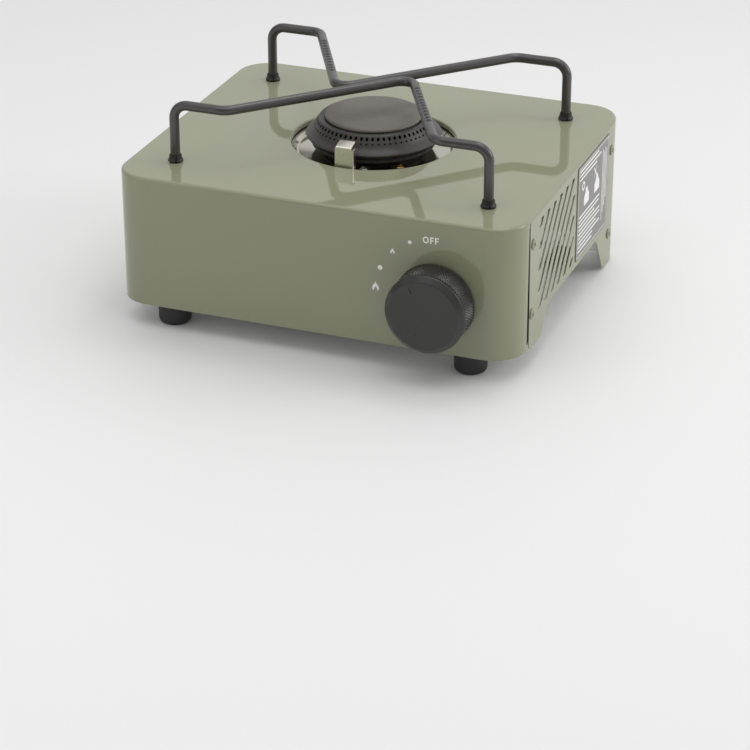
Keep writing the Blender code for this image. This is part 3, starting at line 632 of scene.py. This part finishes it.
def side_panels():
    """Side sheets with vents, arch and a lobe at the back that follows the rear corner."""
    bend_start = REAR - FRONT - CORNER
    end = bend_start + CORNER * PANEL_WRAP
    front_end, arch = down(0.0865), down(0.0708)
    start = SEAM - FRONT
    outline = rounded([
        (start + 0.0014, PANEL_TOP, 0), (start + 0.0042, front_end, 0.004),
        (0.0492, front_end, 0.008), (0.0605, arch, 0.008), (0.1640, arch, 0.010),
        (0.1815, LOBE_END, 0.008), (end, LOBE_END, 0.003), (end, PANEL_TOP, 0),
    ], 8)
    holes = slot_outlines()
    holes += [circle(SCREW_R + GAP, 16, y - FRONT, z) for y, z in SCREW_PLACES]

    def place(along, up, depth, side):
        turn = max(0.0, (along - bend_start) / CORNER)
        y = along if turn == 0 else bend_start + (CORNER - depth) * math.sin(turn)
        inward = depth if turn == 0 else CORNER - (CORNER - depth) * math.cos(turn)
        return side * (HALF - inward), behind(y), up

    for side, name in ((1, "right"), (-1, "left")):
        bm = prism(outline, 0.0, SHEET, holes, 0.0002)
        cut_across(bm, spread(bend_start, end, 14)[:-1])
        for vert in bm.verts:
            depth = SHEET - vert.co.z
            undercut = depth if vert.co.x < start + 0.006 else 0.0
            vert.co = place(vert.co.x + undercut, vert.co.y, depth, side)
        piece(f"side_sheet_{name}", bm, PAINT, [f"side_panel_{name}"])


def rear_sheet():
    """Back wall with the bridge over the cartridge opening."""
    flat = HALF - CORNER
    end = flat + CORNER * (math.radians(90) - PANEL_WRAP) - GAP
    bay_left, bay_top = KNOB.x - BAY_HALF, KNOB.z + BAY_HALF
    outline = rounded([
        (-end, PANEL_TOP, 0), (-end, WALL_END, 0.002), (bay_left, WALL_END, 0.002),
        (bay_left, bay_top, 0.012), (end, bay_top, 0.002), (end, PANEL_TOP, 0),
    ], 8)
    bm = prism(outline, 0.0, SHEET, (), 0.0002)
    cut_across(bm, [s * f for s in (-1, 1) for f in spread(flat, end, 7)[:-1]])
    for vert in bm.verts:
        along, up, depth = vert.co.x, vert.co.y, SHEET - vert.co.z
        turn = max(0.0, (abs(along) - flat) / CORNER)
        if turn == 0:
            vert.co = (along, REAR - depth, up)
        else:
            x = flat + (CORNER - depth) * math.sin(turn)
            y = REAR - CORNER + (CORNER - depth) * math.cos(turn)
            vert.co = (math.copysign(x, along), y, up)
    piece("rear_sheet", bm, PAINT, ["rear_panel"])


def heat_shield():
    """Folded sheet over the cartridge bay; its right flange ends on a slant behind the slots."""
    low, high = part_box("heat_shield")
    near, far = low.y - FRONT, high.y - FRONT
    right, roof, radius, bend_end = HALF - SHEET - GAP, high.z, 0.0020, down(0.012)
    flange_end, flange_front, flange_lean = down(0.030), 0.015, 0.41
    inner, inner_roof, inner_right = low.x + SHEET, roof - SHEET, right - SHEET
    section = rounded([
        (low.x, low.z, 0), (inner, low.z, 0), (inner, inner_roof, radius - SHEET),
        (inner_right, inner_roof, radius - SHEET), (inner_right, flange_end, 0),
        (right, flange_end, 0), (right, roof, radius), (low.x, roof, radius),
    ], 5)
    facing = Matrix.Translation((0, behind(near), 0)) @ FACING_FRONT
    bm = prism(section, near - far, 0.0, matrix=facing)
    for vert in bm.verts:
        if vert.co.x > right - 2 * SHEET and vert.co.z < bend_end:
            vert.co.z = down(flange_front + flange_lean * (vert.co.y - behind(near)))
    piece("shield_sheet", bm, GALVANISED, ["heat_shield"])


def cross_recess_screw(matrix, head_r, head_h, dome, shank):
    """Pan-head screw with a cross recess; local Z points out of the surface."""
    bm = bmesh.new()
    flat, edge, taper = 0.62, 0.0002, 0.72
    recess_r, recess_depth, arm = head_r * flat, head_h * 0.75, head_r * 0.17
    profile = [(0, -shank), (SCREW_R, -shank), (SCREW_R, 0), (head_r - edge, 0), (head_r, edge)]
    for a in sweep(6)[1:6]:
        radius = head_r * (flat + (1 - flat) * math.cos(a))
        profile.append((radius, head_h * (1 - dome + dome * math.sin(a))))
    loops = [ring(bm, matrix, radius, height, 32) for radius, height in profile]
    skin(bm, loops)
    top = profile[-1][1]
    cross = []
    for q in range(4):
        turn = Matrix.Rotation(math.radians(90 * q), 2)
        for x, y in ((recess_r, -arm), (recess_r, arm), (arm * 1.05, arm * 1.05)):
            cross.append(tuple(turn @ Vector((x, y))))
    upper = [bm.verts.new(matrix @ Vector((x, y, top + 0.00002))) for x, y in cross]
    floor = top - recess_depth
    lower = [bm.verts.new(matrix @ Vector((x * taper, y * taper, floor))) for x, y in cross]
    fill(bm, loops[-1], [upper])
    join(bm, upper, lower)
    fill(bm, lower)
    return bm


def panel_screws():
    """Painted screws on both side panels."""
    for side, name in ((1, "right"), (-1, "left")):
        for k, (y, z) in enumerate(SCREW_PLACES, 1):
            out = Quaternion((0, 1, 0), math.radians(90 * side)).to_matrix().to_4x4()
            spin = Matrix.Rotation(math.radians(17 + 31 * k), 4, "Z")
            matrix = Matrix.Translation((side * (HALF + 0.00005), y, z)) @ out @ spin
            bm = cross_recess_screw(matrix, 0.0034, 0.0010, 0.85, 0.0052)
            node = f"panel_screw_{name}_{k}"
            piece(f"panel_screw_head_{name}_{k}", bm, PAINT, [node])


def feet():
    """Moulded rubber feet with a stepped flange and a hollow sole."""
    flange, sole, round_wide, round_tall = 0.0010, 0.0016, 0.0022, 0.0030
    for name in CORNERS:
        node = f"foot_{name}"
        full_r, h = radius_of(node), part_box(node)[1].z
        r = full_r - flange
        profile = [(0, sole), (0.0040, sole), (0.0046, 0.0), (r - round_wide, 0.0)]
        for a in sweep(6)[1:]:
            profile.append((r - round_wide * (1 - math.sin(a)), round_tall * (1 - math.cos(a))))
        profile += [(r + 0.0003, h - 0.0036), (r + 0.0008, h - 0.0033), (full_r, h - 0.0028)]
        profile += [(full_r, h - 0.0004), (r + 0.0006, h), (0, h)]
        bm = lathe(profile, 48, Matrix.Translation((*middle(node).xy, 0)))
        piece(f"rubber_{node}", bm, RUBBER, [node])


# -------------------------------- pan supports


def split_lathe(profile, sides, matrix, split_at, split):
    """Turns a profile about local Z with a narrow slit left open round a given angle."""
    bm = bmesh.new()
    slices = []
    for a in spread(split_at + split / 2, split_at - split / 2 + 2 * math.pi, sides):
        points = [Vector((r * math.cos(a), r * math.sin(a), h)) for r, h in profile]
        slices.append([bm.verts.new(matrix @ point) for point in points])
    skin(bm, slices)
    fill(bm, slices[0])
    fill(bm, slices[-1])
    return bm


def grommets():
    """Flanged sockets, split down one side, that the legs stand in."""
    bore, neck, inner, floor = ROD_R + GAP, 0.0038, 0.0004, LEG_END - TOP - 0.0006
    bottom, split_at, split = floor - 0.0014, math.radians(-62), math.radians(11)
    profile = [
        (inner, bottom), (neck, bottom), (neck, GAP), (0.0045, GAP), (0.0047, 0.0005),
        (0.0047, 0.0012), (0.0046, 0.0015), (0.0043, 0.0018), (0.0040, 0.0024),
        (0.0038, 0.0042), (0.0037, 0.0045), (bore + 0.0001, 0.0045), (bore, 0.0044),
        (bore, floor), (inner, floor),
    ]
    for name in CORNERS:
        node = f"grommet_{name}"
        place = Matrix.Translation((*middle(node).xy, TOP))
        bm = split_lathe(profile, 41, place, split_at, split)
        piece(f"socket_{name}", bm, PLASTIC, [node])


def pan_supports():
    """Two bent rods, one turned half round, with cross notches pressed into one arm of each."""
    elbow_x, tip_x, tip_y = 0.0665, 0.0190, 0.0160
    leg_y = (LEG_Y - LEG_BACK) / 2
    points = [
        (-LEG_X, -leg_y, LEG_END - TOP, 0), (-LEG_X, -leg_y, ROD_HEIGHT, 0.009),
        (-elbow_x, -leg_y, ROD_HEIGHT, 0.012), (tip_x, tip_y, ROD_HEIGHT, 0.008),
        (elbow_x, -leg_y, ROD_HEIGHT, 0.010), (LEG_X, -leg_y, ROD_HEIGHT, 0.009),
        (LEG_X, -leg_y, LEG_END - TOP, 0),
    ]
    path = bent_path(points, 12, 4, 0.0005)  # the notched arm ends at the fourth bend
    notch_pitch, notch_long, notch_deep, notches = 0.0050, 0.0027, 0.00085, 12
    tip, elbow = Vector((tip_x, tip_y)), Vector((elbow_x, -leg_y))
    way = (elbow - tip).normalized()
    first = ((elbow - tip).length - (notches - 1) * notch_pitch) / 2

    def notch(point):
        """How deep the arm's upper side is cut here."""
        offset = point.xy - tip
        along = offset.dot(way)
        on_arm = point.z > ROD_HEIGHT - 1e-5 and (offset - way * along).length < 1e-4
        k = round((along - first) / notch_pitch)
        near = abs(along - first - k * notch_pitch) < notch_long / 2
        return notch_deep if on_arm and 0 <= k < notches and near else 0.0

    cuts = [notch(p) for p in path]

    def radius(i, angle):
        upward = math.sin(angle)
        return min(ROD_R, (ROD_R - cuts[i]) / upward) if cuts[i] and upward > 0.2 else ROD_R

    for name, turn in (("front", 0.0), ("rear", math.pi)):
        bm = pipe(path, radius, 32)
        matrix = Matrix.Translation((0, SUPPORT_MIDDLE, TOP)) @ Matrix.Rotation(turn, 4, "Z")
        bmesh.ops.transform(bm, matrix=matrix, verts=bm.verts)
        node = f"pan_support_{name}"
        piece(f"support_rod_{name}", bm, ROD, [node], f"support_{name}", 28)


# -------------------------------- burner


def ring_wall(profile, through, blind, sides):
    """
    Lathed wall with a port in every pitch of some bands of its profile. `through` gives an outer
    band and the inner band behind it, `blind` a band and a depth; both end with the port's
    share of the pitch and of the band.
    """
    bm = bmesh.new()
    loops = []
    for r, h in profile:
        loops.append([bm.verts.new((x, y, TOP + h)) for x, y in circle(r, sides, *BURNER.xy)])

    def mouth(band, k, wide, tall, up_sign):
        """Cuts one pitch of a band round a port, and returns the port's edge and outward way."""
        near, far, n = loops[band], loops[band + 1], (k + 1) % sides
        a, b, c, d = near[k], near[n], far[n], far[k]
        centre = (a.co + b.co + c.co + d.co) / 4
        across = ((b.co - a.co) + (c.co - d.co)) / 4
        up = ((d.co - a.co) + (c.co - b.co)) / 4
        edge = []
        for x, y in circle(1.0, 10):
            edge.append(bm.verts.new(centre + across * wide * x + up * up_sign * tall * y))
        fill(bm, [a, b, c, d], [edge])
        outward = across.cross(up).normalized()
        return edge, outward if outward.dot(centre - BURNER) > 0 else -outward

    outer, inner, wide, tall = through
    band, depth, small_wide, small_tall = blind
    for k in range(sides):
        front, _ = mouth(outer, k, wide, tall, 1)
        back_edge, _ = mouth(inner, k, wide, tall, -1)
        join(bm, front, back_edge)
        front, outward = mouth(band, k, small_wide, small_tall, 1)
        floor = [bm.verts.new(v.co - outward * depth) for v in front]
        join(bm, front, floor)
        bm.faces.new(floor)
    for i in range(len(loops)):
        if i not in (outer, inner, band):
            join(bm, loops[i], loops[(i + 1) % len(loops)])
    return bm


def burner_ring():
    """Cast ring with a row of large ports over a row of small ones."""
    seat = CAP_R - 0.0006
    profile = [
        (seat, 0.0146), (0.0312, 0.0151), (0.0322, 0.0152), (0.0332, 0.0151), (0.0338, 0.01495),
        (0.0342, 0.0146), (0.0344, 0.0143), (0.0361, 0.0119), (0.0366, 0.0112), (0.0377, 0.0095),
        (0.0384, 0.0084), (0.0393, 0.0074), (0.0404, 0.0065), (0.0415, 0.0058),
        (RIM_R - 0.0004, 0.0053), (RIM_R, 0.0048), (RIM_R - 0.0002, 0.0043), (0.0406, 0.0028),
        (0.0386, 0.0013), (0.0365, 0.0013), (0.0352, 0.0105), (0.0330, 0.0133), (seat, 0.0133),
    ]
    bm = ring_wall(profile, (6, 20, 0.54, 0.86), (8, 0.0012, 0.42, 0.66), 64)
    piece("ported_ring", bm, BURNER_DARK, ["burner_ring"])


def burner_cap():
    """Flat satin cap with a rounded rim; its light colour is partly painted sheen, standing for the
    grazing reflection on its top.
    """
    r, h, edge = CAP_R, CAP_HIGH, 0.0016
    profile = [(0, h), (r - 0.0022, h)]
    for a in sweep(6)[1:]:
        profile.append((r - edge * (1 - math.sin(a)), h - edge * (1 - math.cos(a))))
    profile += [(r - 0.0003, 0.0156), (r - 0.0012, 0.0149), (0.0290, 0.0120), (0.0275, 0.0120)]
    profile += [(0.0275, 0.0145), (0, 0.0145)]
    bm = lathe(profile, 128, Matrix.Translation(BURNER))
    piece("cap_plate", bm, CAP_COATING_AND_SHEEN, ["burner_cap"])


def burner_bowl():
    """Bright drip bowl under the hole in the top plate; its olive tint is partly a painted
    reflection of the sage paint.
    """
    shelf, under, curve = -0.0065, -0.0073, 0.0030
    profile = [(0.0560, -0.0043), (0.0495, -0.0043), (0.0472, under), (0.0345, under)]
    profile += [(0.0345, -0.0130), (0.0337, -0.0130), (0.0337, shelf - 0.0005), (0.0342, shelf)]
    for a in sweep(6):
        profile.append((0.0468 + curve * math.sin(a), shelf + curve * (1 - math.cos(a))))
    profile += [(0.0500, -0.0035), (0.0560, -0.0035)]
    bm = lathe(profile, 128, Matrix.Translation(BURNER))
    piece("drip_bowl", bm, BOWL_METAL_AND_REFLECTION, ["burner_bowl"])


def burner_screws():
    """Screws that hold the head's lugs."""
    for k, metal in ((1, STEEL), (2, BRASS), (3, STEEL)):
        node = f"burner_screw_{k}"
        low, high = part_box(node)
        where = Matrix.Translation((*middle(node).xy, low.z))
        turn = Matrix.Rotation(math.radians(40 * k), 4, "Z")
        head_h = high.z - low.z - 0.0001
        bm = cross_recess_screw(where @ turn, radius_of(node), head_h, 0.35, 0.0)
        piece(f"head_screw_{k}", bm, metal, [node])


def electrode_cover():
    """Bent spring-steel hood with side flanges and a tab that leans back over the electrode."""
    low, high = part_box("electrode_cover")
    half, bend, x = (high.x - low.x) / 2, 0.0013, (low.x + high.x) / 2
    front, inside, rear = low.y, low.y + SHEET, low.y + 0.0046
    plan = rounded([
        (-half, front, bend), (half, front, bend), (half, rear, 0), (half - SHEET, rear, 0),
        (half - SHEET, inside, bend - SHEET), (SHEET - half, inside, bend - SHEET),
        (SHEET - half, rear, 0), (-half, rear, 0),
    ], 5)
    wall_top = high.z - 0.0034
    bm = prism([(px + x, py) for px, py in plan], low.z, wall_top)
    side_view = rounded([
        (front, wall_top, 0), (inside, wall_top, 0), (inside, wall_top + 0.0011, 0.0004),
        (front + 0.0075, high.z - 0.0006, 0.0001), (front + 0.0073, high.z, 0.0001),
        (front, wall_top + 0.0016, 0.0010),
    ], 6)
    turn = Matrix.Rotation(math.radians(90), 4, "Z") @ FACING_FRONT
    tab_half = half - 0.0011
    prism(side_view, x - tab_half, x + tab_half, (), 0.0001, matrix=turn, bm=bm)
    piece("electrode_hood", bm, BRIGHT, ["electrode_cover"])


# -------------------------------- knob and front marks


def knob():
    """Turned knob: flat face, wide chamfer and diamond knurl, hollow at the back."""
    columns, rows, depth = 180, 12, 0.00055  # two columns for each turn of the knurl
    face, shoulder = KNOB_OUT, KNOB_OUT - 0.0032
    face_r, face_round, rim_r, rim_round = KNOB_R - 0.0036, 0.0007, KNOB_R - 0.0010, 0.0010
    knurl_top, knurl_low = shoulder - 0.0009, KNOB_CLEAR + 0.0012
    rim, hollow, hub, stem_r = KNOB_R - 0.0022, shoulder - 0.001, 0.0080, 0.0038
    hub_end, bore_end = 0.0025, 0.0146
    matrix = Matrix.Translation(KNOB) @ FACING_FRONT
    bm = bmesh.new()
    outline = [(r, face) for r in (0, 0.006, 0.012, 0.017, KNOB_R - 0.0040)]
    for a in sweep(4, 0, 45):
        outline.append((face_r + face_round * math.sin(a), face - face_round * (1 - math.cos(a))))
    for a in sweep(4, 45, 90):
        height = shoulder - 0.0003 + rim_round * math.cos(a)
        outline.append((rim_r + rim_round * math.sin(a), height))
    loops = [ring(bm, matrix, radius, height, columns) for radius, height in outline]
    knurl_start = len(loops)
    crest, root = circle(KNOB_R, columns), circle(KNOB_R - depth, columns)
    for r in range(rows + 1):
        height = knurl_top - (knurl_top - knurl_low) * r / rows
        row = []
        for c in range(columns):
            x, y = root[c] if 0 < r < rows and (c + r) % 2 else crest[c]
            row.append(bm.verts.new(matrix @ Vector((x, y, height))))
        loops.append(row)
    for radius, height in (
        (KNOB_R - 0.0001, KNOB_CLEAR + 0.0006), (KNOB_R - 0.0006, KNOB_CLEAR),
        (rim, KNOB_CLEAR), (rim, hollow), (hub, hollow), (hub, hub_end),
        (stem_r, hub_end), (stem_r, bore_end), (0, bore_end),
    ):
        loops.append(ring(bm, matrix, radius, height, columns))
    for i, (a, b) in enumerate(zip(loops, loops[1:])):
        if not knurl_start <= i < knurl_start + rows:
            join(bm, a, b)
            continue
        for c in range(columns):
            n = (c + 1) % columns
            if (c + i - knurl_start) % 2:
                bm.faces.new((a[c], a[n], b[n]))
                bm.faces.new((a[c], b[n], b[c]))
            else:
                bm.faces.new((a[c], a[n], b[c]))
                bm.faces.new((a[n], b[n], b[c]))
    piece("knob_body", bm, KNOB_PLASTIC, ["knob"], "knob", 18)


def knob_pointer():
    """A short near-black strip near the edge of the knob's face, painted shade that stands for a
    sunk pointer groove.
    """
    near, far, half, end_r = 0.0150, 0.0192, 0.0005, 0.00045
    at = Matrix.Rotation(math.radians(118), 4, "Z")
    outline = rounded([(near, -half, end_r), (far, -half, end_r),
                       (far, half, end_r), (near, half, end_r)], 5)
    matrix = Matrix.Translation(KNOB) @ FACING_FRONT @ at
    bm = prism(outline, KNOB_OUT - 0.0004, KNOB_OUT + 0.00003, matrix=matrix)
    piece("knob_pointer", bm, POINTER_GROOVE_SHADE, body="knob")


def front_mark(name, outlines, holes=()):
    """Printed mark of (x, z) loops on the front wall; the holes belong to the first loop."""
    bm = bmesh.new()
    for outline in outlines:
        prism(outline, -FRONT - INK, -FRONT + INK, holes, matrix=FACING_FRONT, bm=bm)
        holes = ()
    piece(name, bm, PRINT)


def flame(x, z, height):
    """Flame sign with a hollow foot."""
    w, h = height * 0.76, height
    left = [(-0.50, 0.30), (-0.38, 0.58), (-0.16, 0.74), (-0.06, 1.0)]
    right = [(0.14, 0.80), (0.26, 0.62), (0.40, 0.56), (0.50, 0.30)]
    foot = [(0.44, 0.10), (0.24, 0.0), (0.24, 0.22), (0.04, 0.46), (-0.20, 0.26), (-0.24, 0.0)]
    foot.append((-0.44, 0.10))
    return [(x + px * w, z + (pz - 0.5) * h) for px, pz in left + right + foot]


def front_marks():
    """OFF, two dots and two flames on an arc about the knob's axis."""
    def spot(degrees, reach=0.0387):
        a = math.radians(degrees)
        return KNOB.x - reach * math.sin(a), KNOB.z + reach * math.cos(a)

    front_mark("mark_dot_low", [circle(0.00115, 24, *spot(24.9, 0.0391))])
    front_mark("mark_dot_high", [circle(0.00150, 24, *spot(64.8))])
    front_mark("mark_flame_small", [flame(*spot(43.9, 0.0392), 0.0037)])
    front_mark("mark_flame_large", [flame(*spot(84.0, 0.0380), 0.0058)])
    x, z = spot(5.5)
    half, wide, short, line = 0.00215, 0.0024, 0.00204, 0.00078
    left, oval_r, bar_low = x - 0.0047, 0.0019, z - 0.0004
    oval, inner = [
        [(left + oval_r + (oval_r - cut) * px, z + (half - cut) * pz) for px, pz in circle(1.0, 40)]
        for cut in (0.0, line)
    ]
    letters = [oval]
    for start in (left + 0.0046, left + 0.0076):
        stem = start + line
        letters.append([
            (start, z - half), (stem, z - half), (stem, bar_low), (start + short, bar_low),
            (start + short, bar_low + line), (stem, bar_low + line), (stem, z + half - line),
            (start + wide, z + half - line), (start + wide, z + half), (start, z + half),
        ])
    front_mark("mark_off", letters, [inner])


# -------------------------------- label


def label():
    """Grey film with generic bars and pictograms in place of the printed notes."""
    low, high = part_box("rating_label")
    width, tall, film_r = high.y - low.y, high.z - low.z, 0.001
    outline = rounded([(low.y, low.z, film_r), (high.y, low.z, film_r),
                       (high.y, high.z, film_r), (low.y, high.z, film_r)], 4)
    facing = Matrix(((0, 0, 1, 0), (1, 0, 0, 0), (0, 1, 0, 0), (0, 0, 0, 1)))  # to the right
    bm = prism(outline, low.x, high.x, (), 0.00005, matrix=facing)
    piece("label_film", bm, LABEL, ["rating_label"])

    bm = bmesh.new()

    def placed(shape):
        """Shares of the label's width and height, from its upper left, as lengths."""
        return [(low.y + a * width, high.z - b * tall) for a, b in shape]

    def printed(shape, holes=()):
        cut = [placed(hole) for hole in holes]
        prism(placed(shape), high.x - INK, high.x + INK, cut, matrix=facing, bm=bm)

    def block(left, right, top, bottom):
        return [(left, top), (right, top), (right, bottom), (left, bottom)]

    def text_rows(top, pitch, ends):
        """Bars that stand for lines of small text."""
        for row, right in enumerate(ends):
            printed(block(0.05, right, top + row * pitch, top + row * pitch + 0.018))

    def disc(r):
        return [(0.17 + r * x, 0.24 + r * y * width / tall) for x, y in circle(1.0, 24)]

    text_rows(0.045, 0.045, (0.66, 0.74, 0.60))
    printed(disc(0.045), [disc(0.026)])
    cross_x, cross_y, arm, thin = 0.56, 0.24, 0.045, 0.011
    for lean in (arm, -arm):
        near, far = cross_x - arm, cross_x + arm
        printed([(near, cross_y - lean - thin), (near + thin, cross_y - lean - thin),
                 (far, cross_y + lean - thin), (far, cross_y + lean + thin),
                 (far - thin, cross_y + lean + thin), (near, cross_y - lean + thin)])
    bottle = [(0.06, 0.29), (0.10, 0.29), (0.12, 0.34), (0.16, 0.38),
              (0.16, 0.47), (0, 0.47), (0, 0.38), (0.04, 0.34)]
    for left in (0.20, 0.54):
        printed([(left + a, b) for a, b in bottle])
    text_rows(0.54, 0.046, (0.72, 0.70, 0.56, 0.74, 0.74, 0.62, 0.74, 0.52, 0.50))
    for column in range(4):
        left = 0.80 + column * 0.040
        printed(block(left, left + 0.014, 0.10 + 0.03 * (column % 2), 0.88 - 0.07 * column))
    rim, line = 0.022, 0.006
    border, inside = [block(k, 1 - k, k, 1 - k) for k in (rim, rim + line)]
    printed(border, [inside])
    piece("label_print", bm, LABEL_PRINT)


# -------------------------------- carried-over CAD nodes


def finish_cad_nodes():
    """Gives every CAD node that stays in view its own finish."""
    finishes = {
        BURNER_DARK: ["burner_head"],
        GALVANISED: ["base_plate", "foot_bracket", "cartridge_cradle", "regulator_bracket"],
        # Painted shade: the corner brackets take the near-black zinc so that the seam gaps look
        # dark.
        GAP_SHADE_ZINC: [f"corner_bracket_{corner}" for corner in CORNERS],
        ALUMINIUM: ["mixing_tube", "regulator_body", "regulator_cover", "gas_pipe"],
        BRASS: ["gas_jet", "valve_stem"],
        STEEL: ["cartridge_seat", "electrode_tip"],
        PLASTIC: ["ignition_cam", "striker_plunger", "piezo_striker"],
        SILICONE: ["igniter_lead"],
        CERAMIC: ["electrode_insulator"],
    }
    for material, names in finishes.items():
        for name in names:
            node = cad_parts[name]
            node.data.materials.clear()
            node.data.materials.append(material)


# -------------------------------- studio


def stage():
    """Pale floor, soft lights and the camera."""
    bpy.ops.mesh.primitive_plane_add(size=60)
    floor = bpy.context.object
    floor.name = "floor"
    finish = Finish("floor_look")
    finish.tint(finish.noise(0.8, 2.0), (1.0, 1.0, 1.0), 0.86, 0.88)
    finish.rough(finish.noise(6.0), 0.55, 0.65)
    floor.data.materials.append(finish.material)

    world = bpy.data.worlds.new("studio")
    bpy.context.scene.world = world
    world.use_nodes = True
    nodes, links = world.node_tree.nodes, world.node_tree.links
    direction = nodes.new("ShaderNodeTexCoord").outputs["Generated"]
    tilt = nodes.new("ShaderNodeVectorMath")
    tilt.operation = "DOT_PRODUCT"
    tilt.inputs[1].default_value = (0.12, 0.36, 0.36)
    links.new(direction, tilt.inputs[0])
    level = nodes.new("ShaderNodeMath")
    level.operation = "ADD"
    level.use_clamp = True
    level.inputs[1].default_value = 0.45
    links.new(tilt.outputs["Value"], level.inputs[0])
    links.new(level.outputs["Value"], nodes["Background"].inputs["Strength"])
    nodes["Background"].inputs["Color"].default_value = (1.0, 1.0, 1.0, 1.0)
    bpy.context.scene.view_settings.view_transform = "Standard"

    aim = Vector((0, 0, 0.05))
    lights = (  # place, width, depth and watts
        ("overhead", (0.05, -0.35, 1.25), 1.5, 0.8, 3.0),
        ("key", (0.15, 0.25, 1.15), 0.35, 0.35, 1.3),
        ("side", (1.3, 0.45, 0.6), 0.6, 0.6, 3.8),
        ("fill", (-0.55, -0.65, 0.35), 0.5, 0.5, 0.60),
    )
    for name, place, wide, tall, power in lights:
        data = bpy.data.lights.new(name, "AREA")
        data.shape = "RECTANGLE"
        data.size, data.size_y = wide, tall
        data.energy = power
        light = bpy.data.objects.new(name, data)
        light.location = place
        light.rotation_mode = "QUATERNION"
        light.rotation_quaternion = (aim - Vector(place)).to_track_quat("-Z", "Y")
        bpy.context.scene.collection.objects.link(light)

    azimuth, elevation = math.radians(20.875), math.radians(26.561)  # solved from the photo
    camera_data = bpy.data.cameras.new("camera")
    camera_data.lens = 126.45
    camera_data.sensor_width = 36.0
    camera = bpy.data.objects.new("camera", camera_data)
    camera.location = (0.5470, -1.4220, 0.7022)
    level_part = math.cos(elevation)
    ahead = Vector((-math.sin(azimuth) * level_part, math.cos(azimuth) * level_part,
                    -math.sin(elevation)))
    camera.rotation_mode = "QUATERNION"
    camera.rotation_quaternion = ahead.to_track_quat("-Z", "Y")
    bpy.context.scene.collection.objects.link(camera)
    bpy.context.scene.camera = camera


shell()
side_panels()
rear_sheet()
heat_shield()
panel_screws()
feet()
grommets()
pan_supports()
burner_ring()
burner_cap()
burner_bowl()
burner_screws()
electrode_cover()
knob()
knob_pointer()
front_marks()
label()
finish_cad_nodes()
stage()
